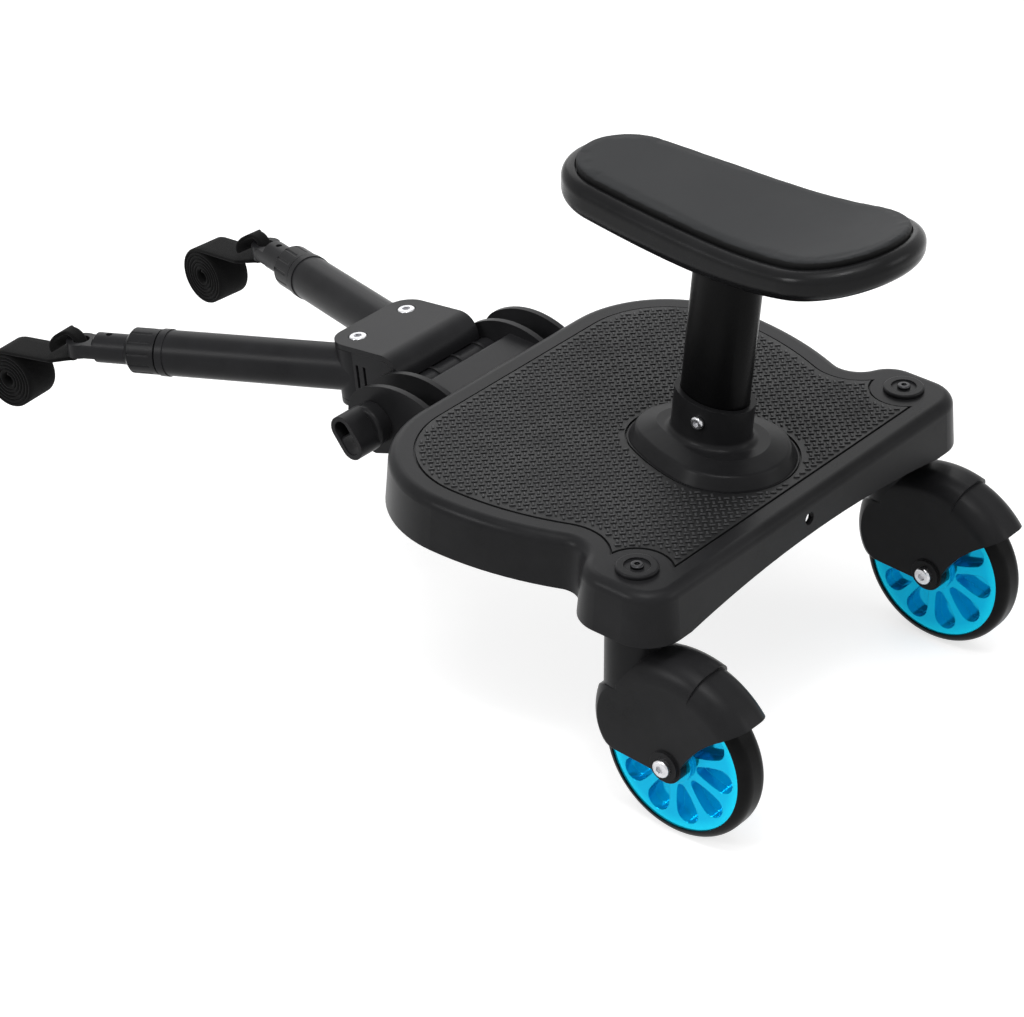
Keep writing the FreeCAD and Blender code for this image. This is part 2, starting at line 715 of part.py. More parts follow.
def make_seat_pad():
    pad = seat_column(SEAT_LIP + FREE).common(saddle_slab(PAD_SINK - PAD_T, PAD_SINK, PAD_SINK))
    faces = sorted(pad.Faces, key=lambda face: face.CenterOfMass.z)
    return pad.makeFillet(PAD_ROUND, faces[-1].Edges)


def make_seat_screws():
    screws = []
    for place in seat_screw_places():
        seat = place + POST_DIRECTION * (SEAT_FLOOR - SEAT_HEAD_H - SEAT_HEAD_SINK)
        grip = SEAT_SCREW_GRIP + SEAT_FLOOR - SEAT_HEAD_H - SEAT_HEAD_SINK
        shank = rod(seat - POST_DIRECTION * grip, POST_DIRECTION, SEAT_SCREW_R, grip)
        screws.append(shank.fuse(rod(seat, POST_DIRECTION, SEAT_HEAD_R, SEAT_HEAD_H)))
    return Part.makeCompound(screws)


# Hinge

def make_shaft():
    tail = LOBE_FACE + NUT_H + SHAFT_TAIL
    tip = LOBE_FACE + FREE + KNOB_SKIRT_L
    return rod(V(-tip, HINGE_Y, HINGE_Z), X_AXIS, SHAFT_R, tip + tail)


def make_shaft_nut():
    base = V(LOBE_FACE, HINGE_Y, HINGE_Z)
    return hexagon(base, X_AXIS, NUT_R, NUT_H).cut(rod(base, X_AXIS, SHAFT_R + RUNNING, NUT_H))


def knob_grip(wall, near, depth):
    """Rounded bar across the knob, drawn in by wall, from near to near + depth along the shaft."""
    end_r = KNOB_GRIP_WIDE / 2 - wall
    reach = KNOB_GRIP_LONG / 2 - KNOB_GRIP_WIDE / 2
    outline = joined([arc((reach, 0), end_r, -90, 90), arc((-reach, 0), end_r, 90, 270)])
    bar = prism(outline, V(0, 0, depth))
    bar.rotate(V(0, 0, 0), Z_AXIS, KNOB_ANGLE)
    bar.rotate(V(0, 0, 0), Y_AXIS, -90)
    bar.translate(V(-near, HINGE_Y, HINGE_Z))
    return bar


def make_knob():
    near = LOBE_FACE + FREE
    skirt = rod(V(-near - KNOB_SKIRT_L, HINGE_Y, HINGE_Z), X_AXIS, KNOB_R, KNOB_SKIRT_L)
    rim = [edge for edge in skirt.Edges if edge.BoundBox.XMax < -near - KNOB_SKIRT_L / 2
           and abs(edge.BoundBox.XMax - edge.BoundBox.XMin) < 1e-6]
    skirt = skirt.makeFillet(KNOB_SKIRT_ROUND, rim)
    grip = knob_grip(0, near + KNOB_SKIRT_L - KNOB_SKIRT_ROUND, KNOB_GRIP_L + KNOB_SKIRT_ROUND)
    pocket = knob_grip(KNOB_WALL, near + KNOB_SKIRT_L + KNOB_GRIP_L - KNOB_POCKET, KNOB_POCKET + 1)
    bore = rod(V(-near - KNOB_SKIRT_L - FREE, HINGE_Y, HINGE_Z), X_AXIS, SHAFT_R + RUNNING,
               KNOB_SKIRT_L + FREE + 1)
    return fused([skirt, grip]).cut(pocket).cut(bore)


# Arm block, drawn level about the hinge shaft

def in_rig(shape):
    """Carry a shape from the block's level frame, centred on the shaft, to its pitched place."""
    copy = moved(shape, V(0, HINGE_Y, HINGE_Z))
    copy.rotate(V(0, HINGE_Y, HINGE_Z), X_AXIS, -RIG_PITCH)
    return copy


def pivots():
    return [V(side * PIVOT_X, PIVOT_Y, 0) for side in (-1, 1)]


def block_plan(inset, rear, z):
    """Plan of the block, with its two front corners round about the arm pivots."""
    radius = KNUCKLE_R - inset
    right = arc((PIVOT_X, PIVOT_Y), radius, 0, 90, z)
    left = arc((-PIVOT_X, PIVOT_Y), radius, 90, 180, z)
    half = PIVOT_X + radius
    back = Part.LineSegment(V(-half, rear, z), V(half, rear, z)).toShape()
    return joined([right, left, back])


def make_cover():
    high = COVER_TOP
    low = BARREL_R + FREE
    column = prism(block_plan(0, COVER_REAR, low), V(0, 0, high - low))
    roof = [edge for edge in column.Edges if abs(edge.BoundBox.ZMin - high) < 1e-3]
    rear = [edge for edge in roof if abs(edge.CenterOfMass.y - COVER_REAR) < 1e-3]
    column = column.makeFillet(COVER_ROLL, rear)
    under = box((-2 * BLOCK_HALF, 2 * BLOCK_HALF), (COVER_REAR + COVER_ROLL, 4 * PIVOT_Y), (low - 1, ARM_TOP))
    inner_r = COVER_ROLL - COVER_REAR_T
    curl = box((-2 * BLOCK_HALF, 2 * BLOCK_HALF), (COVER_REAR + COVER_REAR_T, COVER_REAR + COVER_ROLL + 1),
               (low - 1, high - COVER_REAR_T))
    bend = [edge for edge in curl.Edges if abs(edge.CenterOfMass.y - COVER_REAR - COVER_REAR_T) < 1e-3
            and abs(edge.CenterOfMass.z - high + COVER_REAR_T) < 1e-3]
    curl = curl.makeFillet(inner_r, bend)
    cap = box((-2 * BLOCK_HALF, 2 * BLOCK_HALF), (0, 4 * PIVOT_Y), (ARM_TOP, high))
    cover = column.cut(under).cut(curl.cut(cap))
    for place in pivots():
        cover = cover.cut(rod(place + V(0, 0, low), Z_AXIS, PIVOT_R + SLIP, high))
        cover = cover.cut(rod(place + V(0, 0, high - PIVOT_HEAD_SINK), Z_AXIS, PIVOT_HEAD_R + FREE, high))
    return cover


def make_housing():
    low = FLOOR_TOP - FLOOR_T
    barrel_half = LOBE_INNER - LOBE_T / 2 - FREE
    barrel = rod(V(-barrel_half, 0, 0), X_AXIS, BARREL_R, 2 * barrel_half)
    floor = prism(block_plan(0, 0, low), V(0, 0, FLOOR_T))
    inner = COVER_REAR + COVER_REAR_T + FREE
    wall_end = PIVOT_Y - KNUCKLE_R / 2
    pieces = [barrel, floor]
    for side in (-1, 1):
        span = sorted((side * BLOCK_HALF, side * (BLOCK_HALF - HOUSING_WALL)))
        pieces.append(box(span, (inner, wall_end), (low, ARM_TOP)))
    web = (COVER_REAR + COVER_ROLL, PIVOT_Y + KNUCKLE_R / 2)
    pieces.append(box((-WEB_HALF, WEB_HALF), web, (low, ARM_TOP)))
    heel = box((-BLOCK_HALF, BLOCK_HALF), (inner, inner + HOUSING_WALL), (low, ARM_TOP - COVER_ROLL))
    housing = fused(pieces + [heel])
    outside = box((-2 * BLOCK_HALF, 2 * BLOCK_HALF), (COVER_REAR, COVER_REAR + COVER_ROLL),
                  (COVER_TOP - COVER_ROLL, COVER_TOP + 1))
    inside = rod(V(-2 * BLOCK_HALF, COVER_REAR + COVER_ROLL, COVER_TOP - COVER_ROLL), X_AXIS,
                 COVER_ROLL - COVER_REAR_T - FREE, 4 * BLOCK_HALF)
    housing = housing.cut(outside.cut(inside))
    for y in WALL_SLOTS:
        housing = housing.cut(box((-2 * BLOCK_HALF, 2 * BLOCK_HALF), (y - SLOT_W / 2, y + SLOT_W / 2),
                                  (SLOT_LIFT + ARM_RISE - SLOT_H / 2, SLOT_LIFT + ARM_RISE + SLOT_H / 2)))
    under_cover = box((-2 * BLOCK_HALF, 2 * BLOCK_HALF), (COVER_REAR - FREE, COVER_REAR + COVER_ROLL),
                      (BARREL_R, BARREL_R + BARREL_RING))
    for k in range(BARREL_RINGS):
        x = (2 * (k + 0.5) / BARREL_RINGS - 1) * barrel_half
        ring = rod(V(x - BARREL_RING_T / 2, 0, 0), X_AXIS, BARREL_R + BARREL_RING, BARREL_RING_T)
        housing = housing.fuse(ring.cut(under_cover))
    for place in pivots():
        housing = housing.cut(rod(place + V(0, 0, FLOOR_TOP), Z_AXIS, KNUCKLE_R + FREE, 4 * KNUCKLE_UP))
        housing = housing.cut(rod(place + V(0, 0, low - 1), Z_AXIS, PIVOT_R + SLIP, FLOOR_T + 2))
    return housing.cut(rod(V(-barrel_half - 1, 0, 0), X_AXIS, SHAFT_R + RUNNING, 2 * barrel_half + 2))


def make_pivot_screws():
    screws = []
    top = COVER_TOP - PIVOT_HEAD_SINK
    end = FLOOR_TOP - FLOOR_T - PIVOT_NUT_H - PIVOT_TAIL
    for place in pivots():
        shank = rod(place + V(0, 0, end), Z_AXIS, PIVOT_R, top - end)
        head = rod(place + V(0, 0, top), Z_AXIS, PIVOT_HEAD_R, PIVOT_HEAD_H)
        crown = [edge for edge in head.Edges if edge.BoundBox.ZMin > top + PIVOT_HEAD_H - 1e-3]
        head = head.makeFillet(PIVOT_HEAD_H / 3, crown)
        socket = hexagon(place + V(0, 0, top + PIVOT_HEAD_H / 3), Z_AXIS, SOCKET_R * 1.3, PIVOT_HEAD_H)
        screws.append(shank.fuse(head).cut(socket))
    return Part.makeCompound(screws)


def make_pivot_nuts():
    nuts = []
    low = FLOOR_TOP - FLOOR_T - PIVOT_NUT_H
    for place in pivots():
        nut = hexagon(place + V(0, 0, low), Z_AXIS, PIVOT_NUT_R, PIVOT_NUT_H)
        nuts.append(nut.cut(rod(place + V(0, 0, low), Z_AXIS, PIVOT_R + RUNNING, PIVOT_NUT_H)))
    return Part.makeCompound(nuts)


# Arms, drawn along +Y from the pivot at arm height

def on_arm(shape, side):
    """Carry a shape from the arm's own frame to its pivot, turned out to its side."""
    copy = turned(shape, V(0, 0, 0), Z_AXIS, -side * ARM_ANGLE)
    return in_rig(moved(copy, V(side * PIVOT_X, PIVOT_Y, ARM_RISE)))


def along(start, end, radius):
    return rod(V(0, start, 0), Y_AXIS, radius, end - start)


def make_arm_tube(side):
    knuckle = rod(V(0, 0, -KNUCKLE_DOWN), Z_AXIS, KNUCKLE_R, KNUCKLE_UP + KNUCKLE_DOWN)
    arm = fused([knuckle, along(0, ARM_END, ARM_R), along(ARM_END - BAND_L, ARM_END, BAND_R),
                 along(ARM_END, ARM_END + NOSE_L, NOSE_R)])
    arm = arm.cut(along(ARM_START + ARM_WALL, ARM_END + NOSE_L - GUIDE_L, ARM_R - ARM_WALL))
    arm = arm.cut(along(ARM_START + ARM_WALL, ARM_END + NOSE_L + 1, INNER_R + RUNNING))
    arm = arm.cut(rod(V(0, 0, -2 * KNUCKLE_DOWN), Z_AXIS, PIVOT_R + RUNNING, 4 * KNUCKLE_UP))
    return on_arm(arm, side)


def make_lock_collar(side):
    start = ARM_END + COLLAR_GAP
    ring = along(start, start + COLLAR_L, ARM_R)
    front = [edge for edge in ring.Edges if edge.BoundBox.YMin > start + COLLAR_L - 1e-3]
    ring = ring.makeChamfer(COLLAR_CHAMFER, front)
    ring = ring.cut(along(start - 1, ARM_END + NOSE_L + FREE, NOSE_R + RUNNING))
    for k in range(GRIP_GROOVES):
        groove = rod(V(0, start + COLLAR_CHAMFER, ARM_R + GROOVE_R - GROOVE_DEEP), Y_AXIS, GROOVE_R,
                     COLLAR_L - 2 * COLLAR_CHAMFER)
        ring = ring.cut(turned(groove, V(0, 0, 0), Y_AXIS, 360 * (k + 0.5) / GRIP_GROOVES))
    return on_arm(ring.cut(along(start, start + COLLAR_L + 1, INNER_R + FREE)), side)


def make_inner_tube(side):
    tube = along(INNER_TAIL, INNER_END, INNER_R)
    tip = [edge for edge in tube.Edges if edge.BoundBox.YMin > INNER_END - 1e-3]
    tube = tube.makeChamfer(TUBE_CHAMFER, tip)
    head = along(INNER_TAIL, INNER_TAIL + HEAD_L, ARM_R - ARM_WALL - RUNNING)
    tongue = box((-EYE_R, EYE_R), (INNER_END - 2 * TUBE_CHAMFER, EYE_AT), (-EYE_T / 2, EYE_T / 2))
    tongue = tongue.common(along(INNER_TAIL, EYE_AT, INNER_R))
    eye = rod(V(0, EYE_AT, -EYE_T / 2), Z_AXIS, EYE_R, EYE_T)
    tube = fused([tube, head, tongue, eye])
    tube = tube.cut(along(INNER_TAIL - 1, INNER_END - 3 * INNER_WALL, INNER_R - INNER_WALL))
    tube = tube.cut(rod(V(0, EYE_AT, -EYE_T), Z_AXIS, EYE_HOLE_R, 2 * EYE_T))
    return on_arm(tube.cut(rod(V(0, INDEX_AT, 0), Z_AXIS, INDEX_HOLE_R, 2 * INNER_R)), side)


# Straps: one band from the middle of its roll to the sewn loop through the eye

def strap_segments():
    """Line of the strap in its side plane, as (centre, radius, start, end) arcs and straight runs.

    The first number of a point is forward and the second is up, from the middle of the loop.
    """
    roll = (ROLL_FORWARD, -ROLL_DOWN)
    apart = math.hypot(*roll)
    lean = bearing_to((0, 0), roll) - math.degrees(math.acos((LOOP_R + ROLL_R) / apart))
    turn = math.radians(lean)
    leave = (LOOP_R * math.cos(turn), LOOP_R * math.sin(turn))
    meet = (roll[0] - ROLL_R * math.cos(turn), roll[1] - ROLL_R * math.sin(turn))
    segments = []
    step = (STRAP_T + ROLL_GAP) / 2
    centre = roll
    radius = ROLL_R
    start = lean + 180
    for half_turn in range(2 * ROLL_TURNS):
        segments.append((centre, radius, start, start - 180))
        start -= 180
        end = math.radians(start)
        centre = (centre[0] + step * math.cos(end), centre[1] + step * math.sin(end))
        radius -= step
    segments = [(c, r, b, a) for c, r, a, b in reversed(segments)]
    segments.append((meet, leave))
    segments.append(((0, 0), LOOP_R, lean, lean - 360 + SEWN_ANGLE))
    return segments


def strap_sides():
    """The two faces of the band as lists of edges, half a thickness either side of its line."""
    sides = ([], [])
    for segment in strap_segments():
        for edges, off in zip(sides, (STRAP_T / 2, -STRAP_T / 2)):
            if len(segment) == 4:
                centre, radius, start, end = segment
                sense = 1 if end > start else -1
                edges.append(arc(centre, radius - sense * off, start, end))
            else:
                (x0, y0), (x1, y1) = segment
                length = math.hypot(x1 - x0, y1 - y0)
                shift = V(-(y1 - y0) * off / length, (x1 - x0) * off / length, 0)
                edges.append(Part.LineSegment(V(x0, y0, 0) + shift, V(x1, y1, 0) + shift).toShape())
    return sides


def least_gap():
    """Least free gap between parts of the band that lie more than a few thicknesses apart along it."""
    points = []
    length = 0.0
    for segment in strap_segments():
        if len(segment) == 4:
            centre, radius, start, end = segment
            count = 48
            for k in range(count):
                turn = math.radians(start + (end - start) * k / count)
                points.append((centre[0] + radius * math.cos(turn), centre[1] + radius * math.sin(turn)))
        else:
            count = 24
            for k in range(count):
                share = k / count
                points.append(tuple(a + (b - a) * share for a, b in zip(*segment)))
    stations = []
    for here, there in zip(points, points[1:] + points[-1:]):
        stations.append(length)
        length += math.dist(here, there)
    least = length
    for i, here in enumerate(points):
        for j in range(i):
            if stations[i] - stations[j] > 6 * STRAP_T:
                least = min(least, math.dist(here, points[j]))
    return least - STRAP_T


def make_strap(side):
    left, right = strap_sides()
    edges = left + list(reversed(right))
    ends = [Part.LineSegment(a.valueAt(a.FirstParameter), b.valueAt(b.FirstParameter)).toShape()
            for a, b in ((left[0], right[0]),)]
    ends.append(Part.LineSegment(left[-1].valueAt(left[-1].LastParameter),
                                 right[-1].valueAt(right[-1].LastParameter)).toShape())
    outline = Part.Wire(Part.__sortEdges__(edges + ends))
    band = prism(outline, V(0, 0, STRAP_W))
    band.translate(V(0, 0, -STRAP_W / 2))
    neck = STRAP_NECK / 2
    full = STRAP_W / 2 + 1
    far = 2 * (ROLL_FORWARD + ROLL_R)
    plan = [V(-far, 0, -neck), V(0, 0, -neck), V(STRAP_FLARE, 0, -full), V(far, 0, -full),
            V(far, 0, full), V(STRAP_FLARE, 0, full), V(0, 0, neck), V(-far, 0, neck)]
    shape = prism(polygon(plan), V(0, 2 * far, 0))
    shape.translate(V(0, -far, 0))
    band = band.common(shape)
    band.rotate(V(0, 0, 0), X_AXIS, 90)
    band.rotate(V(0, 0, 0), Z_AXIS, 90)
    band.translate(V(0, LOOP_R, 0))
    band.rotate(V(0, 0, 0), Z_AXIS, side * (ARM_ANGLE - STRAP_YAW))
    band.translate(V(0, EYE_AT - FREE, 0))
    return on_arm(band, side)


# Casters, drawn at the middle and then copied to each side

def axle_point(x):
    return V(x, -TRAIL, AXLE_Z)


def about_axle(section, start, end):
    """Turn a section that stands forward of the axle through a range of angles about it."""
    face = Part.Face(section)
    face.rotate(axle_point(0), X_AXIS, start)
    return face.revolve(axle_point(0), X_AXIS, end - start)


def fender_section(radius):
    """Half section of the fender forward of the axle: flat flanks with round shoulders."""
    shoulder = FORK_HALF - FENDER_ROUND
    rim = -TRAIL + radius
    lean = FENDER_ROUND * math.sqrt(0.5)

    def at(x, y):
        return V(x, y, AXLE_Z)

    right = Part.Arc(at(FORK_HALF, rim - FENDER_ROUND), at(shoulder + lean, rim - FENDER_ROUND + lean),
                     at(shoulder, rim))
    left = Part.Arc(at(-shoulder, rim), at(-shoulder - lean, rim - FENDER_ROUND + lean),
                    at(-FORK_HALF, rim - FENDER_ROUND))
    axis = Part.LineSegment(at(-FORK_HALF, -TRAIL), at(FORK_HALF, -TRAIL))
    return joined([right.toShape(), left.toShape(), axis.toShape()])


def cheek_profile():
    """Side view that trims the fork: level in front, round under the axle, and swept up to the tail."""
    def at(forward, up):
        return V(-FORK_HALF, -TRAIL + forward, AXLE_Z + up)

    def polar(radius, degrees):
        turn = math.radians(degrees)
        return at(radius * math.cos(turn), radius * math.sin(turn))

    high = 2 * FENDER_R
    boss = Part.Arc(polar(CHEEK_BOSS_R, -35), polar(CHEEK_BOSS_R, -100), polar(CHEEK_BOSS_R, -195))
    sweep = Part.Arc(polar(CHEEK_BOSS_R, -195), polar(SWEEP_MIDDLE * FENDER_R, SWEEP_ANGLE),
                     polar(SWEEP_END * FENDER_R, TAIL_ANGLE))
    nose = TRAIL + COLLAR_R - FRONT_ROUND
    level = FRONT_ROUND - COLLAR_DROP
    front = Part.Arc(at(nose, level + FRONT_ROUND), at(nose + FRONT_ROUND, level), at(nose, -COLLAR_DROP))
    roof = Part.LineSegment(at(-high, high), at(nose, high))
    return joined([boss.toShape(), sweep.toShape(), roof.toShape(), front.toShape()])


def collar_barrel():
    """Round belly in front of the wheel, widest at mid height."""
    level = AXLE_Z + FRONT_ROUND - COLLAR_DROP
    low = level - FRONT_ROUND - FREE
    high = level + FRONT_ROUND + FREE
    side = Part.Arc(V(STEM_R, 0, low), V(COLLAR_R, 0, level), V(STEM_R, 0, high))
    axis = Part.LineSegment(V(0, 0, high), V(0, 0, low))
    section = Part.Face(joined([side.toShape(), axis.toShape()]))
    return section.revolve(V(0, 0, 0), Z_AXIS, 360)


def make_fork():
    crown = about_axle(fender_section(FENDER_R), -30, STEP_ANGLE)
    tail = about_axle(fender_section(FENDER_R - FENDER_STEP), STEP_ANGLE, 360 - 30)
    bosses = rod(axle_point(-FORK_HALF), X_AXIS, CHEEK_BOSS_R, 2 * FORK_HALF)
    body = crown.fuse(tail).common(prism(cheek_profile(), V(2 * FORK_HALF, 0, 0)))
    behind = box((-2 * FORK_HALF, 2 * FORK_HALF), (-2 * FENDER_R, 0), (0, DECK_Z))
    body = body.common(behind).fuse(body.common(collar_barrel()))
    stem_z = AXLE_Z + FRONT_ROUND - COLLAR_DROP
    stem = rod(V(0, 0, stem_z), Z_AXIS, STEM_R, STEM_TOP - stem_z)
    hubs = rod(axle_point(-FORK_HALF - AXLE_BOSS_H), X_AXIS, AXLE_BOSS_R, 2 * (FORK_HALF + AXLE_BOSS_H))
    fork = fused([body, bosses, stem, hubs])
    fork = fork.cut(rod(axle_point(-SLOT_HALF), X_AXIS, TYRE_R + TYRE_GAP, 2 * SLOT_HALF))
    shell = rod(axle_point(-SLOT_HALF), X_AXIS, FENDER_R - FENDER_STEP - FENDER_WALL, 2 * SLOT_HALF)
    fork = fork.cut(shell.common(box((-FORK_HALF, FORK_HALF), (-2 * FENDER_R, -STEM_R - FENDER_WALL),
                                     (0, 2 * FENDER_R))))
    fork = fork.cut(box((-SLOT_HALF, SLOT_HALF), (0, 2 * COLLAR_R), (0, AXLE_Z + FRONT_SLOT)))
    fork = fork.cut(rod(axle_point(-2 * FORK_HALF), X_AXIS, AXLE_R + RUNNING, 4 * FORK_HALF))
    return fork.cut(rod(V(0, 0, STEM_TOP - KING_PIN_DEPTH), Z_AXIS, KING_PIN_R, KING_PIN_DEPTH + 1))


def make_king_pin():
    low = STEM_TOP - KING_PIN_DEPTH
    pin = rod(V(0, 0, low), Z_AXIS, KING_PIN_R, CAP_Z - low)
    return pin.cut(rod(V(0, 0, CAP_Z - CAP_SCREW_L), Z_AXIS, CAP_SCREW_R + RUNNING, CAP_SCREW_L + 1))


def make_cap_washer():
    cap = rod(V(0, 0, CAP_Z), Z_AXIS, CAP_R, CAP_T)
    rim = [edge for edge in cap.Edges if edge.BoundBox.ZMin > CAP_Z + CAP_T - 1e-3]
    cap = cap.makeFillet(CAP_T / 2, rim)
    cap = cap.cut(rod(V(0, 0, CAP_Z + CAP_T / 2), Z_AXIS, CAP_HOLLOW_R, CAP_T))
    return cap.cut(rod(V(0, 0, CAP_Z - 1), Z_AXIS, CAP_SCREW_R + SLIP, CAP_T + 2))


def make_cap_screw():
    seat = CAP_Z + CAP_T / 2
    shank = rod(V(0, 0, CAP_Z - CAP_SCREW_L + SLIP), Z_AXIS, CAP_SCREW_R, seat - CAP_Z + CAP_SCREW_L - SLIP)
    head = rod(V(0, 0, seat), Z_AXIS, CAP_HEAD_R, CAP_HEAD_H)
    head = head.makeFillet(CAP_HEAD_H / 2, [edge for edge in head.Edges
                                            if edge.BoundBox.ZMin > seat + CAP_HEAD_H - 1e-3])
    socket = hexagon(V(0, 0, seat + CAP_HEAD_H / 3), Z_AXIS, SOCKET_R / 1.2, CAP_HEAD_H)
    return shank.fuse(head).cut(socket)


def make_axle_bolt():
    start = -FORK_HALF - AXLE_BOSS_H
    end = FORK_HALF + AXLE_BOSS_H + AXLE_NUT_H
    shank = rod(axle_point(start), X_AXIS, AXLE_R, end - start)
    head = rod(axle_point(start - AXLE_HEAD_H), X_AXIS, AXLE_HEAD_R, AXLE_HEAD_H)
    head = head.makeFillet(AXLE_HEAD_H / 2, [edge for edge in head.Edges
                                             if edge.BoundBox.XMax < start - AXLE_HEAD_H + 1e-3])
    socket = hexagon(axle_point(start - AXLE_HEAD_H - 1), X_AXIS, SOCKET_R * 1.2, 1 + AXLE_HEAD_H / 2)
    return shank.fuse(head).cut(socket)


def make_axle_nut():
    base = axle_point(FORK_HALF + AXLE_BOSS_H)
    return hexagon(base, X_AXIS, AXLE_NUT_R, AXLE_NUT_H).cut(rod(base, X_AXIS, AXLE_R + RUNNING, AXLE_NUT_H))


def make_bearings():
    rings = []
    for start in (-HUB_W / 2, HUB_W / 2 - BEARING_W):
        rings.append(sleeve(axle_point(start), X_AXIS, BEARING_R, AXLE_R + RUNNING, BEARING_W))
    return Part.makeCompound(rings)


def make_spacer():
    half = HUB_W / 2 - BEARING_W
    return sleeve(axle_point(-half), X_AXIS, SPACER_R, AXLE_R + RUNNING, 2 * half)


def make_core():
    """Wheel core: hub, rim and web, with a ring of petal-shaped pockets in each face."""
    rim = sleeve(V(0, 0, -RIM_W / 2), Z_AXIS, RIM_R, RIM_R - RIM_T, RIM_W)
    disc = rod(V(0, 0, -RIM_W / 2), Z_AXIS, RIM_R - RIM_T / 2, RIM_W)
    hub = rod(V(0, 0, -HUB_W / 2), Z_AXIS, HUB_R, HUB_W)
    core = fused([rim, disc, hub])
    tip = RIM_R - RIM_T - PETAL_TIP_R
    root = HUB_R + PETAL_EDGE + PETAL_ROOT_R
    outline = egg(tip, PETAL_TIP_R, root, PETAL_ROOT_R, 8 * PETAL_TIP_R, 0, 0)
    petal = prism(outline, V(0, 0, RIM_W))
    for k in range(PETALS):
        for face, start in ((1, WEB_T / 2), (-1, -WEB_T / 2 - RIM_W)):
            pocket = turned(moved(petal, V(0, 0, start)), V(0, 0, 0), Z_AXIS, 360 * k / PETALS)
            core = core.cut(pocket)
    for start in (-HUB_W / 2 - 1, HUB_W / 2 - BEARING_W):
        core = core.cut(rod(V(0, 0, start), Z_AXIS, BEARING_R, BEARING_W + 1))
    core = core.cut(rod(V(0, 0, -HUB_W), Z_AXIS, SPACER_R + SLIP, 2 * HUB_W))
    core.rotate(V(0, 0, 0), Y_AXIS, 90)
    core.translate(axle_point(0))
    return core


def make_tyre():
    tyre = rod(axle_point(-TYRE_W / 2), X_AXIS, TYRE_R, TYRE_W)
    shoulders = [edge for edge in tyre.Edges if abs(edge.BoundBox.XMax - edge.BoundBox.XMin) < 1e-6]
    tyre = tyre.makeFillet(TYRE_EDGE, shoulders)
    return tyre.cut(rod(axle_point(-TYRE_W), X_AXIS, RIM_R, 2 * TYRE_W))


CASTER_PIECES = {
    "fork": make_fork,
    "king_pin": make_king_pin,
    "cap_washer": make_cap_washer,
    "cap_screw": make_cap_screw,
    "axle_bolt": make_axle_bolt,
    "axle_nut": make_axle_nut,
    "wheel_bearings": make_bearings,
    "axle_spacer": make_spacer,
    "wheel_core": make_core,
    "tyre": make_tyre,
}
ARM_PIECES = {
    "arm_tube": make_arm_tube,
    "lock_collar": make_lock_collar,
    "inner_tube": make_inner_tube,
    "strap": make_strap,
}
SIDES = {"left": -1, "right": 1}


def make_nodes():
    nodes = {
        "deck": make_deck(),
        "tread_mat": make_mat(),
        "caster_bushes": make_bushes(),
        "seat_base": make_seat_base(),
        "base_screws": make_base_screws(),
        "collar_screw": make_collar_screw(),
        "seat_post": make_post(),
        "post_plug": make_plug(),
        "seat_shell": make_seat_shell(),
        "seat_pad": make_seat_pad(),
        "seat_screws": make_seat_screws(),
        "hinge_shaft": make_shaft(),
        "shaft_nut": make_shaft_nut(),
        "clamp_knob": make_knob(),
        "arm_housing": in_rig(make_housing()),
        "arm_cover": in_rig(make_cover()),
        "pivot_screws": in_rig(make_pivot_screws()),
        "pivot_nuts": in_rig(make_pivot_nuts()),
    }
    for name, make in ARM_PIECES.items():
        for label, side in SIDES.items():
            nodes[name + "_" + label] = make(side)
    for name, make in CASTER_PIECES.items():
        piece = make()
        for label, side in SIDES.items():
            nodes[name + "_" + label] = moved(piece, V(side * HALF_TRACK, 0, 0))
    return nodes


def middle_of(nodes):
    """Forward place of the middle of the box that holds every piece."""
    boxes = [shape.optimalBoundingBox(False, False) for shape in nodes.values()]
    return (min(found.YMin for found in boxes) + max(found.YMax for found in boxes)) / 2


def joint_points(shift):
    """Joint axes and mounts that a record of this part needs, in the finished frame."""
    rig = FreeCAD.Placement(V(0, HINGE_Y, HINGE_Z), FreeCAD.Rotation(X_AXIS, -RIG_PITCH))
    points = {
        "hinge": V(0, HINGE_Y, HINGE_Z),
        "hang_hole": V(HANG_HOLE_X, -DECK_REAR, DECK_TOP - HANG_HOLE_DROP),
        "rig_up": rig.Rotation.multVec(Z_AXIS),
    }
    for label, side in SIDES.items():
        out = FreeCAD.Rotation(Z_AXIS, -side * ARM_ANGLE)
        pivot = V(side * PIVOT_X, PIVOT_Y, ARM_RISE)
        strap = FreeCAD.Rotation(Z_AXIS, -side * STRAP_YAW)
        loop = out.multVec(V(0, EYE_AT - FREE, 0)) + strap.multVec(V(0, LOOP_R, 0)) + pivot
        points["pivot_" + label] = rig.multVec(pivot)
        points["arm_axis_" + label] = rig.Rotation.multVec(out.multVec(Y_AXIS))
        points["loop_" + label] = rig.multVec(loop)
        points["loop_axis_" + label] = rig.Rotation.multVec(strap.multVec(X_AXIS))
        points["swivel_" + label] = V(side * HALF_TRACK, 0, DECK_Z)
        points["axle_" + label] = V(side * HALF_TRACK, -TRAIL, AXLE_Z)
    for name, point in points.items():
        if "axis" not in name and name != "rig_up":
            point = point - V(0, shift, 0)
        print("point", name, round(point.x, 4), round(point.y, 4), round(point.z, 4))


def main():
    os.makedirs("parts", exist_ok=True)
    nodes = make_nodes()
    shift = middle_of(nodes)
    for name, shape in nodes.items():
        shape = moved(shape, V(0, -shift, 0))
        print(name, len(shape.Solids), "solids", shape.isValid(), round(shape.Volume / 1000, 2), "cm3")
        shape.exportStep("parts/" + name + ".step")
    print("strap: least gap to itself", round(least_gap(), 3), "mm")
    print("shift", round(shift, 4))
    joint_points(shift)


main()
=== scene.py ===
import json
import math

import bmesh
import bpy
from mathutils import Matrix, Vector
from mathutils.bvhtree import BVHTree


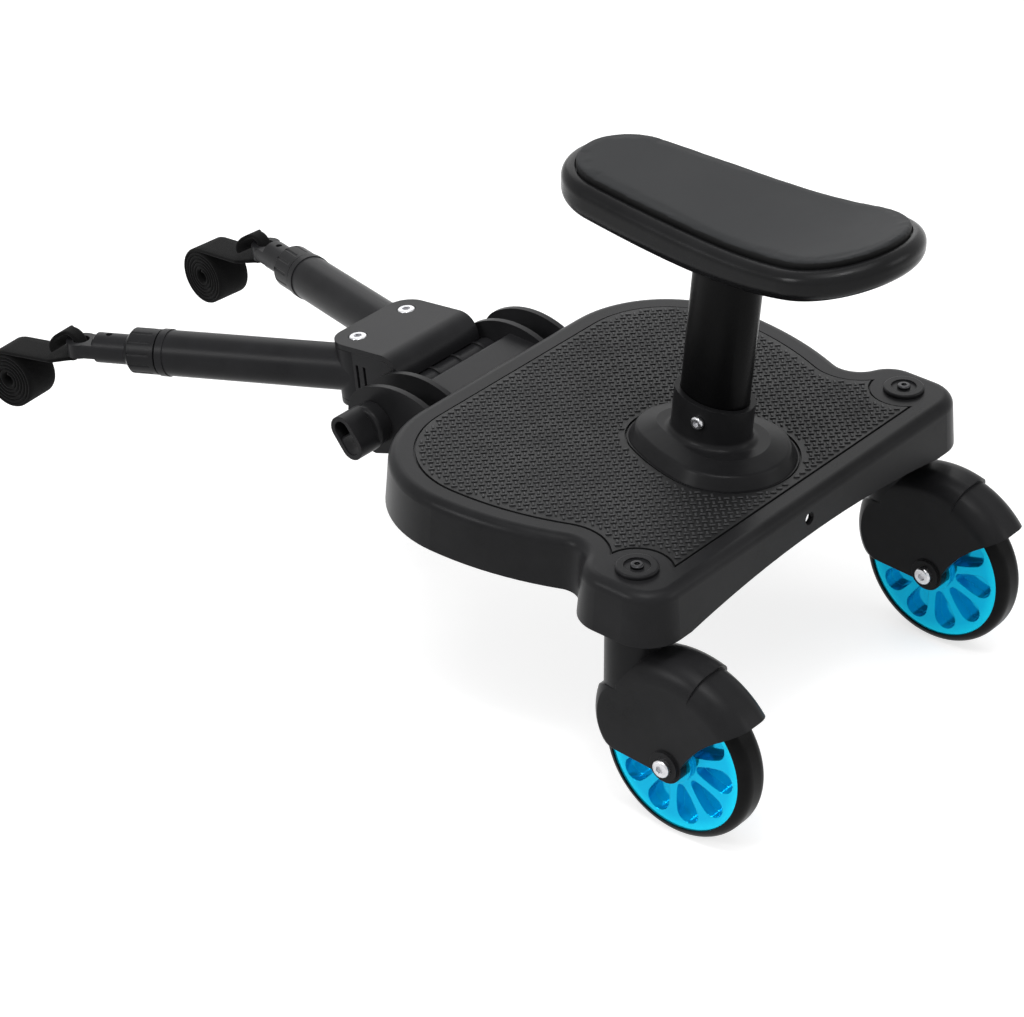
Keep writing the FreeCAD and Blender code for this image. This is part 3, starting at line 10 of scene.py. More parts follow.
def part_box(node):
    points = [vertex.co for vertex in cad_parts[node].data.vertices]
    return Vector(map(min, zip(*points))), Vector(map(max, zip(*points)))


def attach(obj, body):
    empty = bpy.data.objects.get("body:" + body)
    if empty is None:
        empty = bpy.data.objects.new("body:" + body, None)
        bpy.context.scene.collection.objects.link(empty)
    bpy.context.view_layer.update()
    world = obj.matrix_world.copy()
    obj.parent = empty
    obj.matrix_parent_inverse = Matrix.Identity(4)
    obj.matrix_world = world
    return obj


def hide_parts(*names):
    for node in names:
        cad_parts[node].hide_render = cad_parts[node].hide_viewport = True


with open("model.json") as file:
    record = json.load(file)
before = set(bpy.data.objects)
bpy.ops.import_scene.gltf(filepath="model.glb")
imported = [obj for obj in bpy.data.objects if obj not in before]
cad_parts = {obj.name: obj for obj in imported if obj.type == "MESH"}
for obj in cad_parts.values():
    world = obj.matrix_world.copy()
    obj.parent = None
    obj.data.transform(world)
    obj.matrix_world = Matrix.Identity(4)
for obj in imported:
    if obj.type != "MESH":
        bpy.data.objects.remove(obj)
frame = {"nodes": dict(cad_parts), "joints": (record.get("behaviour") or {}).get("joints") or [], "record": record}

scene = bpy.context.scene
nodes = frame["nodes"]
joints = {joint["name"]: joint for joint in frame["joints"]}


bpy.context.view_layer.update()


# Materials

EDGE_SOFT = 0.0006
EDGE_FINE = 0.0004
EDGE_SAMPLES = 4
# A Mix node has inputs for each kind of value. These are the places of its colours.
MIX_LOW = 6
MIX_HIGH = 7
MIX_RESULT = 2


class Shader:
    """A Principled material with a few short ways to add nodes to it."""

    def __init__(self, name, color, roughness, metallic=0.0, **sockets):
        self.material = bpy.data.materials.new(name)
        self.material.use_nodes = True
        self.tree = self.material.node_tree
        self.surface = self.tree.nodes["Principled BSDF"]
        self.put("Base Color", (*color, 1.0))
        self.put("Roughness", roughness)
        self.put("Metallic", metallic)
        for socket, value in sockets.items():
            self.put(socket.replace("_", " "), value)
        self.coords = self.add("ShaderNodeTexCoord")

    def put(self, socket, value):
        self.surface.inputs[socket].default_value = value

    def add(self, kind, **values):
        node = self.tree.nodes.new(kind)
        for key, value in values.items():
            setattr(node, key, value)
        return node

    def link(self, source, target):
        self.tree.links.new(source, target)

    def place(self, node, source="Object", stretch=None):
        """Lay a texture out by the object's own metres, or by another set of coordinates."""
        vector = self.coords.outputs[source]
        if stretch:
            mapping = self.add("ShaderNodeMapping")
            mapping.inputs["Scale"].default_value = stretch
            self.link(vector, mapping.inputs["Vector"])
            vector = mapping.outputs["Vector"]
        self.link(vector, node.inputs["Vector"])

    def noise(self, scale, detail=2.0, roughness=0.5, stretch=None):
        node = self.add("ShaderNodeTexNoise")
        node.inputs["Scale"].default_value = scale
        node.inputs["Detail"].default_value = detail
        node.inputs["Roughness"].default_value = roughness
        self.place(node, stretch=stretch)
        return node.outputs["Fac"]

    def wave(self, scale, direction):
        """Bands along one direction of the UV layer."""
        node = self.add("ShaderNodeTexWave", wave_type="BANDS", bands_direction=direction)
        node.inputs["Scale"].default_value = scale
        self.place(node, "UV")
        return node.outputs["Fac"]

    def upward(self, source):
        """The Z of a set of coordinates."""
        parts = self.add("ShaderNodeSeparateXYZ")
        self.link(self.coords.outputs[source], parts.inputs["Vector"])
        return parts.outputs["Z"]

    def ramp(self, field, low, high, start=0.0, end=1.0):
        """A field's run from start to end, turned into a run from low to high."""
        node = self.add("ShaderNodeMapRange")
        for key, value in (("From Min", start), ("From Max", end), ("To Min", low), ("To Max", high)):
            node.inputs[key].default_value = value
        self.link(field, node.inputs["Value"])
        return node.outputs["Result"]

    def math(self, operation, a, b):
        node = self.add("ShaderNodeMath", operation=operation)
        for socket, value in zip(node.inputs, (a, b)):
            if isinstance(value, (int, float)):
                socket.default_value = value
            else:
                self.link(value, socket)
        return node.outputs["Value"]

    def vector(self, operation, first, second=None):
        node = self.add("ShaderNodeVectorMath", operation=operation)
        self.link(first, node.inputs[0])
        if second is not None:
            node.inputs[1].default_value = second
        return node

    def tint(self, field, low, high, start=0.3, end=0.7):
        """Base colour that runs from one colour to another over a field."""
        node = self.add("ShaderNodeMix", data_type="RGBA")
        self.link(self.ramp(field, 0.0, 1.0, start, end), node.inputs["Factor"])
        node.inputs[MIX_LOW].default_value = (*low, 1.0)
        node.inputs[MIX_HIGH].default_value = (*high, 1.0)
        self.link(node.outputs[MIX_RESULT], self.surface.inputs["Base Color"])

    def gloss(self, field, low, high, start=0.3, end=0.7):
        """Roughness that runs from low to high over a field."""
        self.link(self.ramp(field, low, high, start, end), self.surface.inputs["Roughness"])

    def bump(self, field, height, strength, edge=None):
        """Relief of a given height in metres, over edges softened by a small radius."""
        node = self.add("ShaderNodeBump")
        node.inputs["Distance"].default_value = height
        node.inputs["Strength"].default_value = strength
        self.link(field, node.inputs["Height"])
        if edge:
            soft = self.add("ShaderNodeBevel", samples=EDGE_SAMPLES)
            soft.inputs["Radius"].default_value = edge
            self.link(soft.outputs["Normal"], node.inputs["Normal"])
        self.link(node.outputs["Normal"], self.surface.inputs["Normal"])


def shade(color, share, lift=0.0):
    return tuple(channel * share + lift for channel in color)


def moulded(name, color, roughness, level=0.3, grain=2600.0, relief=0.00004):
    """Moulded plastic or powder paint with an etched grain, a cloudy sheen and softly lit edges."""
    shader = Shader(name, color, roughness, Specular_IOR_Level=level)
    cloud = shader.noise(14.0, detail=4.0, roughness=0.6)
    fine = shader.noise(grain, roughness=0.55)
    shader.tint(cloud, shade(color, 0.85), shade(color, 1.4, 0.0015))
    sheen = shader.math("MULTIPLY", cloud, fine)
    shader.gloss(sheen, roughness - 0.06, roughness + 0.08, start=0.1, end=0.45)
    shader.bump(fine, relief, strength=0.8, edge=EDGE_SOFT)
    return shader.material


TURNED_STRETCH = (1.0, 6.0, 6.0)


def plated_metal(name, color, roughness):
    """Plated steel or alloy with fine turning marks and dull patches."""
    shader = Shader(name, color, roughness, metallic=1.0)
    marks = shader.noise(900.0, detail=3.0, roughness=0.6, stretch=TURNED_STRETCH)
    dull = shader.noise(160.0, detail=3.0, roughness=0.6)
    shader.tint(dull, shade(color, 0.72), color)
    shader.gloss(marks, roughness - 0.07, roughness + 0.13)
    shader.bump(marks, 0.00003, strength=0.6, edge=EDGE_FINE)
    return shader.material


def rubber(name, color, roughness, level, edge):
    """Rubber with a fine moulded grain, and the bloom on it for the caller to colour."""
    shader = Shader(name, color, roughness, Specular_IOR_Level=level)
    bloom = shader.noise(36.0, detail=5.0, roughness=0.65)
    fine = shader.noise(1900.0, roughness=0.6)
    shader.gloss(bloom, roughness - 0.08, roughness + 0.07)
    shader.bump(fine, 0.00005, strength=0.7, edge=edge)
    return shader, bloom


def tyre(name, color, roughness, level):
    """Black rubber of the tyres, with a faint bloom."""
    shader, bloom = rubber(name, color, roughness, level, EDGE_SOFT)
    shader.tint(bloom, shade(color, 0.8), shade(color, 1.5, 0.002))
    return shader.material


TREAD_PITCH = 0.0046
TREAD_LONG = 0.0046
TREAD_WIDE = 0.0017
TREAD_HIGH = 0.0009
TREAD_MARGIN = 0.0034
TREAD_SUNK = 0.0002
# Share of the bars' height where their painted highlight begins
HIGHLIGHT_START = 0.3


def tread(name, color, bar_highlight_color, roughness, level):
    """Rubber of the mat: its own dark colour between the raised bars, and a painted highlight that makes their
    tops paler.
    """
    shader, bloom = rubber(name, color, roughness, level, EDGE_FINE)
    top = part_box("tread_mat")[1].z
    # Painted highlight: the higher a point stands on a bar, the paler it is coloured, as if lit from above.
    uneven = shader.ramp(bloom, -TREAD_HIGH / 4, TREAD_HIGH / 4)
    height = shader.math("ADD", shader.upward("Object"), uneven)
    shader.tint(height, color, bar_highlight_color, top + TREAD_HIGH * HIGHLIGHT_START, top + TREAD_HIGH)
    return shader.material


WEFT_SCALE = 2.6
WEFT_RISE = 0.8
WARP_SCALE = 3.4
WARP_RISE = 0.7
FUZZ_RISE = 0.5


def webbing(name, color):
    """Woven band: ribs across it and warp threads along it, by the band's own length and width."""
    shader = Shader(name, color, 0.92, Specular_IOR_Level=0.06, Sheen_Weight=0.06, Sheen_Roughness=0.6)
    weft = shader.math("MULTIPLY", shader.wave(WEFT_SCALE, "X"), WEFT_RISE)
    warp = shader.math("MULTIPLY", shader.wave(WARP_SCALE, "Y"), WARP_RISE)
    fuzz = shader.math("MULTIPLY", shader.noise(2400.0, detail=3.0, roughness=0.7), FUZZ_RISE)
    cloth = shader.math("ADD", shader.math("MAXIMUM", weft, warp), fuzz)
    shader.tint(cloth, shade(color, 0.5), shade(color, 1.5), start=0.3, end=1.3)
    shader.bump(cloth, 0.00016, strength=0.9)
    return shader.material


CELL_SCALE = 1100.0
CELL_RISE = 0.7


def foam_skin(name, color, dark_side_and_shade_color):
    """Soft skin of the seat pad: leathery grain, matte, paler where it is rubbed, with dark cut sides that also
    carry painted shade, as of the groove they sit in.
    """
    shader = Shader(name, color, 0.62, Specular_IOR_Level=0.14, Sheen_Weight=0.03, Sheen_Roughness=0.5)
    rubbed = shader.noise(9.0, detail=4.0, roughness=0.6)
    cells = shader.add("ShaderNodeTexVoronoi", feature="SMOOTH_F1")
    cells.inputs["Scale"].default_value = CELL_SCALE
    shader.place(cells)
    pores = shader.math("MULTIPLY", cells.outputs["Distance"], CELL_RISE)
    grain = shader.math("ADD", pores, shader.noise(2300.0))
    # Painted shade: faces that turn sideways take the dark side colour, which is the foam's dark cut edge and also
    # stands in for the shade of the groove round the pad.
    clear_of_side_shade = shader.ramp(shader.upward("Normal"), 0.0, 1.0, start=0.45, end=0.8)
    skin = shader.math("MULTIPLY", clear_of_side_shade, shader.ramp(rubbed, 0.8, 1.0, start=0.3, end=0.7))
    shader.tint(skin, dark_side_and_shade_color, color, start=0.0, end=1.0)
    shader.gloss(rubbed, 0.58, 0.68)
    shader.bump(grain, 0.00005, strength=0.7)
    return shader.material


# Radii over which the core turns to its painted rim glow, and how far that edge wanders
GLOW_INNER = 0.045
GLOW_OUTER = 0.052
GLOW_DRIFT = 0.004
RIM_EDGE = 0.0008
TINT_SHINE = 0.6
ACROSS_AXLE = (0.0, 1.0, 1.0)


def tinted_core(name, color, rim_glow_color):
    """Tinted see-through moulding: it throws back blue light as metal does, and a painted glow, as of light coming
    through the thin plastic, makes it paler towards its rim.

    Both wheels turn on one line at rest, so the left one's axle serves for the two.
    """
    shader = Shader(name, color, 0.08, TINT_SHINE, Specular_IOR_Level=0.1, IOR=1.49)
    low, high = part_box("wheel_core_left")
    away = shader.vector("SUBTRACT", shader.coords.outputs["Object"], (low + high) / 2)
    across = shader.vector("MULTIPLY", away.outputs["Vector"], ACROSS_AXLE)
    reach = shader.vector("LENGTH", across.outputs["Vector"])
    swirl = shader.noise(26.0, detail=4.0, roughness=0.55)
    drift = shader.ramp(swirl, -GLOW_DRIFT, GLOW_DRIFT)
    cloudy = shader.math("ADD", reach.outputs["Value"], drift)
    # Painted glow: paler towards the rim, standing in for light that comes through the thin plastic there.
    shader.tint(cloudy, color, rim_glow_color, GLOW_INNER, GLOW_OUTER)
    shader.gloss(swirl, 0.05, 0.14)
    shader.bump(swirl, 0.0002, strength=0.3, edge=RIM_EDGE)
    return shader.material


# Each slot of the record, with what makes its material and the colours, roughness and specular level
FINISHES = {
    "deck_plastic": (moulded, (0.0118, 0.0118, 0.0126), 0.32, 0.08),
    "seat_plastic": (moulded, (0.007, 0.007, 0.0075), 0.23, 0.11),
    "arm_plastic": (moulded, (0.0125, 0.0125, 0.0135), 0.32, 0.08),
    "bush_plastic": (moulded, (0.52, 0.51, 0.48), 0.45),
    # The second colour is a painted highlight on the tops of the tread bars
    "tread_rubber": (tread, (0.009, 0.0091, 0.0096), (0.036, 0.0364, 0.038), 0.5, 0.22),
    # The second colour is the dark cut sides, and is also painted shade of the groove round the pad
    "pad_foam": (foam_skin, (0.0218, 0.0228, 0.0242), (0.0012, 0.0012, 0.0013)),
    "post_paint": (moulded, (0.002, 0.002, 0.0022), 0.3, 0.06, 1800.0, 0.00003),
    "strap_webbing": (webbing, (0.0022, 0.0022, 0.0024)),
    # The second colour is a painted glow towards the wheel's rim
    "wheel_blue": (tinted_core, (0.0, 0.47, 0.76), (0.004, 0.64, 0.9)),
    "tyre_rubber": (tyre, (0.0038, 0.0038, 0.004), 0.36, 0.06),
    "spacer_alloy": (plated_metal, (0.78, 0.78, 0.79), 0.3),
    "bright_steel": (plated_metal, (0.66, 0.66, 0.68), 0.24),
    "black_steel": (plated_metal, (0.05, 0.05, 0.053), 0.3),
}
MATERIALS = {slot: make(slot, *look) for slot, (make, *look) in FINISHES.items()}
slot_of = {part["node"]: part["material_slot"] for part in frame["record"]["subparts"]}
for node, obj in nodes.items():
    obj.data.materials.clear()
    obj.data.materials.append(MATERIALS[slot_of[node]])


# Pieces

def mesh_object(name, bm, slot, smooth=True):
    mesh = bpy.data.meshes.new(name)
    bm.to_mesh(mesh)
    bm.free()
    for polygon in mesh.polygons:
        polygon.use_smooth = smooth
    obj = bpy.data.objects.new(name, mesh)
    scene.collection.objects.link(obj)
    obj.data.materials.append(MATERIALS[slot])
    return obj


def tree_of(node):
    """A node's mesh, ready to be hit by rays."""
    bm = bmesh.new()
    bm.from_mesh(nodes[node].data)
    tree = BVHTree.FromBMesh(bm)
    bm.free()
    return tree


DOWN = Vector((0, 0, -1))
RAY_HEIGHT = 0.05
FLAT_WITHIN = 0.0001
# Rings of a bar from its foot up: the share of its outline, and the height over the mat
TREAD_RINGS = ((1.0, -TREAD_SUNK), (0.95, TREAD_HIGH * 0.6), (0.62, TREAD_HIGH))


def tread_bars():
    """Rows of short raised bars on the mat, set at right angles to each other like a tread plate."""
    mat = tree_of("tread_mat")
    cover = tree_of("seat_base")
    low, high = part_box("tread_mat")
    top = high.z
    middle = (low + high) / 2
    half_long = TREAD_LONG / 2
    half_wide = TREAD_WIDE / 2
    shoulder = half_long - half_wide / 2
    right_end = [(shoulder, half_wide), (half_long, 0.0), (shoulder, -half_wide)]
    outline = right_end + [(-u, -v) for u, v in right_end]
    count = len(outline)
    reach = int((high - low).length / TREAD_PITCH / 2) + 2
    diagonal = math.sqrt(0.5)
    bm = bmesh.new()

    def on_mat(x, y):
        """Whether a bar here has the mat's flat top all round it, and nothing over it."""
        for dx, dy in ((0, 0), (1, 0), (-1, 0), (0, 1), (0, -1)):
            start = Vector((x + dx * TREAD_MARGIN, y + dy * TREAD_MARGIN, top + RAY_HEIGHT))
            place = mat.ray_cast(start, DOWN)[0]
            if place is None or place.z < top - FLAT_WITHIN:
                return False
            if cover.ray_cast(start, DOWN)[0] is not None:
                return False
        return True

    for i in range(-reach, reach + 1):
        for j in range(-reach, reach + 1):
            x = middle.x + (i - j) * diagonal * TREAD_PITCH
            y = middle.y + (i + j) * diagonal * TREAD_PITCH
            if not on_mat(x, y):
                continue
            turn = math.pi / 4 if (i + j) % 2 else -math.pi / 4
            c = math.cos(turn)
            s = math.sin(turn)
            rings = []
            for share, height in TREAD_RINGS:
                ring = []
                for u, v in outline:
                    spot = (x + (c * u - s * v) * share, y + (s * u + c * v) * share, top + height)
                    ring.append(bm.verts.new(spot))
                rings.append(ring)
            for lower, upper in zip(rings, rings[1:]):
                for k in range(count):
                    n = (k + 1) % count
                    bm.faces.new((lower[n], lower[k], upper[k], upper[n]))
            bm.faces.new(list(reversed(rings[-1])))
            bm.faces.new(rings[0])
    bmesh.ops.recalc_face_normals(bm, faces=bm.faces)
    obj = mesh_object("tread_bars", bm, "tread_rubber", smooth=False)
    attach(obj, "board")


tread_bars()


PAD_VOXEL = 0.0016
PAD_SHRINK = 0.0005
PAD_PROUD = 0.0035
PAD_LIFT = 0.0005
PAD_FRAMES = 20
PAD_PRESSURE = 2.5
PAD_SMOOTHING = 2
CENTRE_WITHIN = 1e-6
# Upward share of a normal: under the first it is on the pad's foot, over the second on its top
FOOT_FACING = -0.5
TOP_FACING = 0.5


def seat_pad():
    """Flat pad that stands proud of its shell, held at its foot and sides while a cloth run swells it."""
    mesh = nodes["seat_pad"].data.copy()
    mesh.name = "seat_cushion"
    pad = bpy.data.objects.new("seat_cushion", mesh)
    scene.collection.objects.link(pad)
    pad.data.materials.clear()
    pad.data.materials.append(MATERIALS["pad_foam"])
    remesh = pad.modifiers.new("even", "REMESH")
    remesh.mode = "VOXEL"
    remesh.voxel_size = PAD_VOXEL
    bpy.context.view_layer.objects.active = pad
    pad.select_set(True)
    bpy.ops.object.modifier_apply(modifier="even")
    low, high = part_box("seat_pad")
    middle = (low + high) / 2
    facing = [normal.vector.z for normal in pad.data.vertex_normals]
    rest = []
    for vertex, upward in zip(pad.data.vertices, facing):
        out = Vector((vertex.co.x - middle.x, vertex.co.y - middle.y, 0.0))
        if out.length > CENTRE_WITHIN:
            vertex.co -= out.normalized() * PAD_SHRINK
        if upward > FOOT_FACING:
            vertex.co.z += PAD_PROUD
        rest.append(vertex.co.copy())
    held = pad.vertex_groups.new(name="held")
    for index, upward in enumerate(facing):
        if upward < TOP_FACING:
            held.add([index], 1.0, "REPLACE")
    cloth = pad.modifiers.new("swell", "CLOTH")
    cloth.settings.use_pressure = True
    cloth.settings.uniform_pressure_force = PAD_PRESSURE
    cloth.settings.vertex_group_mass = "held"
    cloth.settings.effector_weights.gravity = 0.0
    cloth.point_cache.frame_start = 1
    cloth.point_cache.frame_end = PAD_FRAMES
    for step in range(1, PAD_FRAMES + 1):
        scene.frame_set(step)
    bpy.ops.object.modifier_apply(modifier="swell")
    scene.frame_set(1)
    for vertex, start in zip(pad.data.vertices, rest):
        move = vertex.co - start
        if move.length > PAD_LIFT:
            vertex.co = start + move.normalized() * PAD_LIFT
    smooth = pad.modifiers.new("even_skin", "SMOOTH")
    smooth.factor = 0.5
    smooth.iterations = PAD_SMOOTHING
    bpy.ops.object.modifier_apply(modifier="even_skin")
    finer = pad.modifiers.new("finer", "SUBSURF")
    finer.levels = 1
    finer.render_levels = 1
    for polygon in pad.data.polygons:
        polygon.use_smooth = True
    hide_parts("seat_pad")
    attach(pad, "board")


seat_pad()


STRAP_W = 0.030
STRAP_T = 0.0024
STRAP_NAP = 0.0004
STRAP_NECK = 0.011
# Length over which the strap widens from its neck, and the half width it would overshoot by at its end
STRAP_FLARE = 0.014
STRAP_EARLY = 0.001
LOOP_R = 0.0108
ROLL_R = 0.022
ROLL_FORWARD = 0.0594
ROLL_DOWN = 0.0343
ROLL_TURNS = 6
ROLL_GAP = 0.00055
SEWN_ANGLE = math.radians(62.0)
# Longest step along the strap's line, most that a step turns in radians, and fewest steps in an arc
STRAP_STEP = 0.0022
STRAP_BEND = 0.22
ARC_STEPS = 4
SELVEDGE_STEPS = 4
FACE_SHARES = (0.6, 0.2, -0.2, -0.6)
# UV units to the metre of the band
BAND_UNITS = 100


def strap_line():
    """Middle line of the strap in its side plane, forward and up from the middle of its loop."""
    roll = Vector((ROLL_FORWARD, -ROLL_DOWN))
    apart = math.hypot(ROLL_FORWARD, ROLL_DOWN)
    lean = math.atan2(-ROLL_DOWN, ROLL_FORWARD) - math.acos((LOOP_R + ROLL_R) / apart)
    step = (STRAP_T + ROLL_GAP) / 2
    runs = []
    centre = roll.copy()
    radius = ROLL_R
    start = lean + math.pi
    for half_turn in range(2 * ROLL_TURNS):
        runs.append((centre.copy(), radius, start - math.pi, start))
        start -= math.pi
        centre += Vector((math.cos(start), math.sin(start))) * step
        radius -= step
    points = []

    def sweep(centre, radius, begin, end):
        turn = abs(end - begin)
        count = max(ARC_STEPS, int(turn * radius / STRAP_STEP), int(turn / STRAP_BEND))
        for k in range(count):
            angle = begin + (end - begin) * k / count
            points.append(centre + Vector((math.cos(angle), math.sin(angle))) * radius)

    for run in reversed(runs):
        sweep(*run)
    outward = Vector((math.cos(lean), math.sin(lean)))
    meet = roll - outward * ROLL_R
    leave = outward * LOOP_R
    count = int((leave - meet).length / STRAP_STEP)
    points.extend(meet.lerp(leave, k / count) for k in range(count))
    sweep(Vector((0, 0)), LOOP_R, lean, lean - 2 * math.pi + SEWN_ANGLE)
    return points


def strap_section(half, thick):
    """Section of the band: flat faces with rounded selvedges."""
    edge = thick / 2
    flat = half - edge
    section = []
    for side in (1, -1):
        for k in range(SELVEDGE_STEPS + 1):
            angle = math.pi * (0.5 - k / SELVEDGE_STEPS)
            section.append((side * (flat + edge * math.cos(angle)), side * edge * math.sin(angle)))
        for share in FACE_SHARES:
            section.append((side * flat * share, -side * edge))
    return section


def strap(side):
    """The strap as one woven band: rolled up, run back to its loop and gathered through the eye."""
    name = "strap_" + side
    joint = joints["strap_swing_" + side]
    origin = Vector(joint["pos_m"])
    across = Vector(joint["axis"]).normalized()
    up = Vector(joints["arm_swing_left"]["axis"]).normalized()
    forward = up.cross(across).normalized()
    line = strap_line()
    neck = STRAP_NECK / 2
    full = STRAP_W / 2
    bm = bmesh.new()
    uv_layer = bm.loops.layers.uv.new("band")
    rings = []
    run = 0.0
    for index, here in enumerate(line):
        ahead = line[min(index + 1, len(line) - 1)]
        behind = line[max(index - 1, 0)]
        tangent = (ahead - behind).normalized()
        normal = Vector((-tangent.y, tangent.x))
        flare = min(max(here.x / STRAP_FLARE, 0.0), 1.0)
        half = min(neck + (full + STRAP_EARLY - neck) * flare, full)
        ring = []
        for x, y in strap_section(half, STRAP_T + STRAP_NAP):
            spot = here + normal * y
            ring.append((bm.verts.new(origin + forward * spot.x + up * spot.y + across * x), x))
        if index:
            run += (here - line[index - 1]).length
        rings.append((ring, run))
    count = len(rings[0][0])
    for (ring, start), (following, end) in zip(rings, rings[1:]):
        for k in range(count):
            n = (k + 1) % count
            quad = ((ring[k], start), (ring[n], start), (following[n], end), (following[k], end))
            face = bm.faces.new([vert for (vert, x), along in quad])
            for loop, ((vert, x), along) in zip(face.loops, quad):
                loop[uv_layer].uv = (along * BAND_UNITS, x * BAND_UNITS)
    for ring in (rings[0][0], rings[-1][0]):
        bm.faces.new([vert for vert, x in ring])
    bmesh.ops.recalc_face_normals(bm, faces=bm.faces)
    obj = mesh_object("webbing_" + side, bm, "strap_webbing")
    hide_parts(name)
    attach(obj, name)


for side in ("left", "right"):
    strap(side)


KNOB_TURN = math.radians(40.0)
KNOB_SLOT_R = 0.0065
KNOB_SLOT_REACH = 0.007
# The face starts just short of the slot's round end, where the slot has no width
WEB_START = 0.99
WEB_END = 0.0022
WEB_ROUND = 0.0024
WEB_SUNK = 0.0007
WEB_SCOOP = 0.0022
WEB_FOOT = 0.009
WEB_STEPS = 28


def knob_web():
    """Scooped face in the clamp knob's grip, which leaves a smaller hole at the grip's upper end."""
    end_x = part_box("clamp_knob")[0].x
    centre = Vector(joints["knob_turn"]["pos_m"])
    along = Vector((0.0, math.sin(KNOB_TURN), math.cos(KNOB_TURN)))
    aside = Vector((0.0, math.cos(KNOB_TURN), -math.sin(KNOB_TURN)))
    start = -KNOB_SLOT_REACH - KNOB_SLOT_R * WEB_START
    bm = bmesh.new()

    def spot(u, v, depth):
        place = centre + along * u + aside * v
        return bm.verts.new((end_x + depth, place.y, place.z))

    face = []
    foot = []
    for i in range(WEB_STEPS + 1):
        u = start + (WEB_END - start) * i / WEB_STEPS
        beyond = max(-KNOB_SLOT_REACH - u, 0.0)
        half = math.sqrt(KNOB_SLOT_R ** 2 - beyond ** 2)
        fall = max(u - WEB_END + WEB_ROUND, 0.0) / WEB_ROUND
        scoop = math.sin(math.pi * i / WEB_STEPS) ** 2
        face_row = []
        foot_row = []
        for j in range(WEB_STEPS + 1):
            side = 2.0 * j / WEB_STEPS - 1.0
            depth = WEB_SUNK + WEB_SCOOP * scoop * (1.0 - side ** 2) + WEB_ROUND * fall ** 2
            face_row.append(spot(u, half * side, depth))
            foot_row.append(spot(u, half * side, WEB_FOOT))
        face.append(face_row)
        foot.append(foot_row)
    for sheet in (face, foot):
        for row, ahead in zip(sheet, sheet[1:]):
            for j in range(WEB_STEPS):
                bm.faces.new((row[j], row[j + 1], ahead[j + 1], ahead[j]))
    for upper, lower in ((face[0], foot[0]), (face[-1], foot[-1]),
                         ([row[0] for row in face], [row[0] for row in foot]),
                         ([row[-1] for row in face], [row[-1] for row in foot])):
        for j in range(WEB_STEPS):
            bm.faces.new((upper[j], upper[j + 1], lower[j + 1], lower[j]))
    bmesh.ops.recalc_face_normals(bm, faces=bm.faces)
    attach(mesh_object("knob_web", bm, "deck_plastic"), "knob")


knob_web()


# Stage

CAMERA_AT = Vector((-1.6583, -1.4544, 1.4278))
CAMERA_AZIMUTH = math.radians(-49.662)
CAMERA_RISE = math.radians(32.038)
CAMERA_ROLL = math.radians(-0.294)
FOCAL_PIXELS = 3529.6
PHOTO_WIDTH = 1024
SENSOR_WIDTH = 36.0
CLIP_END = 50.0


def camera():
    a, e = CAMERA_AZIMUTH, CAMERA_RISE
    back = Vector((math.sin(a) * math.cos(e), -math.cos(a) * math.cos(e), math.sin(e)))
    right = Vector((math.cos(a), math.sin(a), 0.0))
    up = back.cross(right)
    c, s = math.cos(CAMERA_ROLL), math.sin(CAMERA_ROLL)
    right, up = right * c + up * s, up * c - right * s
    data = bpy.data.cameras.new("camera")
    data.sensor_fit = "HORIZONTAL"
    data.sensor_width = SENSOR_WIDTH
    data.lens = SENSOR_WIDTH * FOCAL_PIXELS / PHOTO_WIDTH
    data.clip_end = CLIP_END
    obj = bpy.data.objects.new("camera", data)
    scene.collection.objects.link(obj)
    turn = Matrix((right, up, back)).transposed().to_4x4()
    obj.matrix_world = Matrix.Translation(CAMERA_AT) @ turn
    scene.camera = obj


def highest(tree, first, second):
    node = tree.nodes.new("ShaderNodeMath")
    node.operation = "MAXIMUM"
    tree.links.new(first, node.inputs[0])
    tree.links.new(second, node.inputs[1])
    return node.outputs["Value"]


def seen_rays(tree):
    """1 for rays that the camera sees, straight on or in a reflection or through something clear."""
    path = tree.nodes.new("ShaderNodeLightPath")
    seen = path.outputs["Is Camera Ray"]
    for ray in ("Is Glossy Ray", "Is Transmission Ray"):
        seen = highest(tree, seen, path.outputs[ray])
    return seen


WHITE = (1.0, 1.0, 1.0, 1.0)
FLOOR_REACH = 12.0
FLOOR_GREY = (0.55, 0.55, 0.55, 1.0)
FLOOR_ROUGHNESS = 0.9
# Added where the floor is seen, so that it comes out white and keeps the object's shadow
FLOOR_LIFT = 0.69


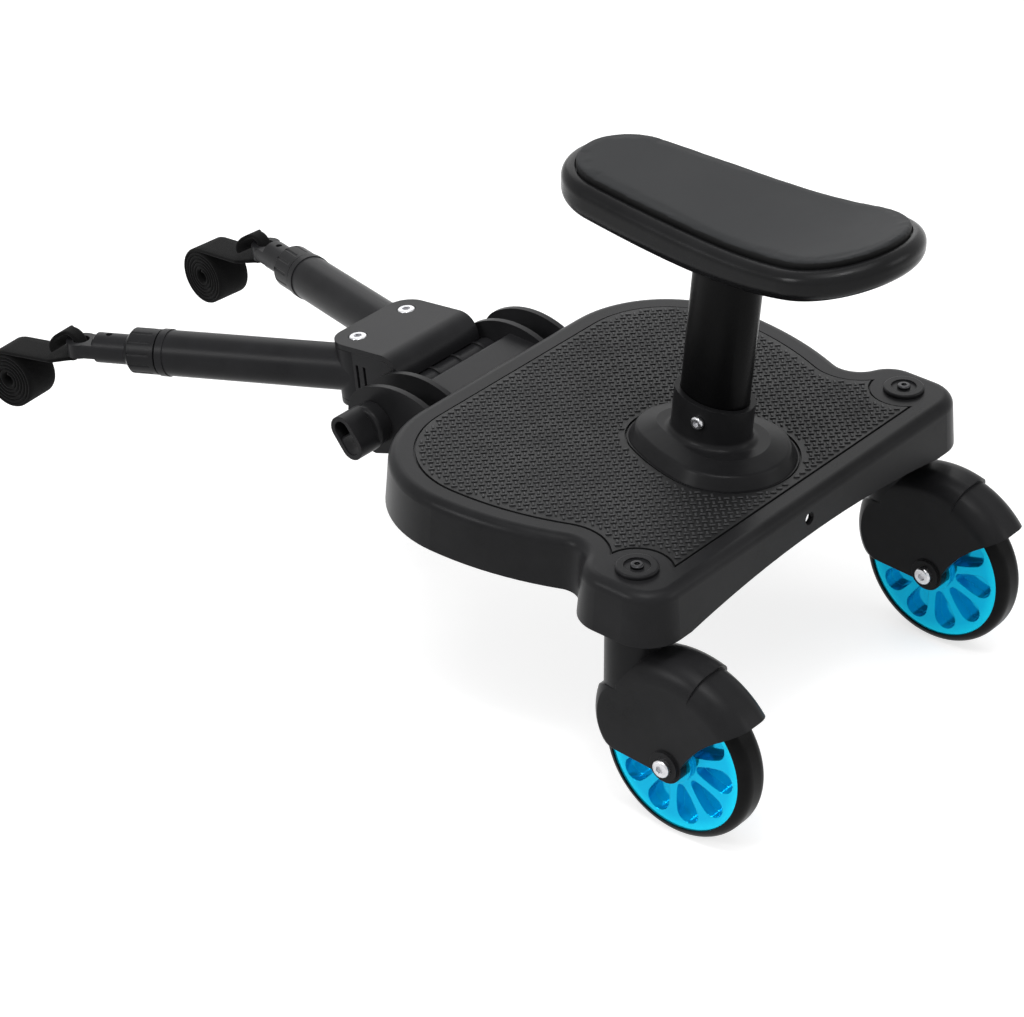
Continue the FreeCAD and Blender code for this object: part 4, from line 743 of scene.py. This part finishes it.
def floor():
    bm = bmesh.new()
    bmesh.ops.create_grid(bm, x_segments=2, y_segments=2, size=FLOOR_REACH)
    mesh = bpy.data.meshes.new("floor")
    bm.to_mesh(mesh)
    bm.free()
    obj = bpy.data.objects.new("floor", mesh)
    scene.collection.objects.link(obj)
    material = bpy.data.materials.new("floor_white")
    material.use_nodes = True
    tree = material.node_tree
    surface = tree.nodes["Principled BSDF"]
    surface.inputs["Base Color"].default_value = FLOOR_GREY
    surface.inputs["Roughness"].default_value = FLOOR_ROUGHNESS
    surface.inputs["Specular IOR Level"].default_value = 0.0
    lift = tree.nodes.new("ShaderNodeMath")
    lift.operation = "MULTIPLY"
    lift.inputs[1].default_value = FLOOR_LIFT
    tree.links.new(seen_rays(tree), lift.inputs[0])
    surface.inputs["Emission Color"].default_value = WHITE
    tree.links.new(lift.outputs["Value"], surface.inputs["Emission Strength"])
    obj.data.materials.append(material)


SKY_LOW = 0.2
SKY_HIGH = 0.7


def sky():
    """White where it is seen. As a light it is dim at the horizon and brighter overhead."""
    world = bpy.data.worlds.new("studio")
    world.use_nodes = True
    tree = world.node_tree
    background = tree.nodes["Background"]
    coords = tree.nodes.new("ShaderNodeTexCoord")
    height = tree.nodes.new("ShaderNodeSeparateXYZ")
    tree.links.new(coords.outputs["Generated"], height.inputs["Vector"])
    fade = tree.nodes.new("ShaderNodeMapRange")
    for key, value in (("From Min", 0.0), ("From Max", 1.0), ("To Min", SKY_LOW), ("To Max", SKY_HIGH)):
        fade.inputs[key].default_value = value
    tree.links.new(height.outputs["Z"], fade.inputs["Value"])
    strength = highest(tree, fade.outputs["Result"], seen_rays(tree))
    tree.links.new(strength, background.inputs["Strength"])
    background.inputs["Color"].default_value = WHITE
    scene.world = world


MIDDLE = (0.0, 0.0, 0.2)
# Each lamp's name, place, the point that it faces, its width and height, and its watts
SOFTBOXES = (
    ("key", (-0.5, -0.4, 2.6), MIDDLE, (2.0, 1.6), 24.0),
    ("top", (-0.7, -0.6, 2.3), MIDDLE, (0.36, 0.36), 9.0),
    ("back", (1.7, 1.5, 1.6), MIDDLE, (2.4, 1.8), 16.0),
    ("rear", (1.2, -2.4, 1.3), (0.0, -0.2, 0.2), (1.2, 1.0), 10.0),
    ("side", (-2.4, 1.0, 1.6), MIDDLE, (0.55, 0.75), 22.0),
)


def softbox(name, place, target, size, power):
    data = bpy.data.lights.new(name, "AREA")
    data.shape = "RECTANGLE"
    data.size, data.size_y = size
    data.energy = power
    obj = bpy.data.objects.new(name, data)
    scene.collection.objects.link(obj)
    obj.location = place
    obj.rotation_euler = (Vector(target) - Vector(place)).to_track_quat("-Z", "Y").to_euler()


camera()
floor()
sky()
for lamp in SOFTBOXES:
    softbox(*lamp)
scene.view_settings.view_transform = "Standard"
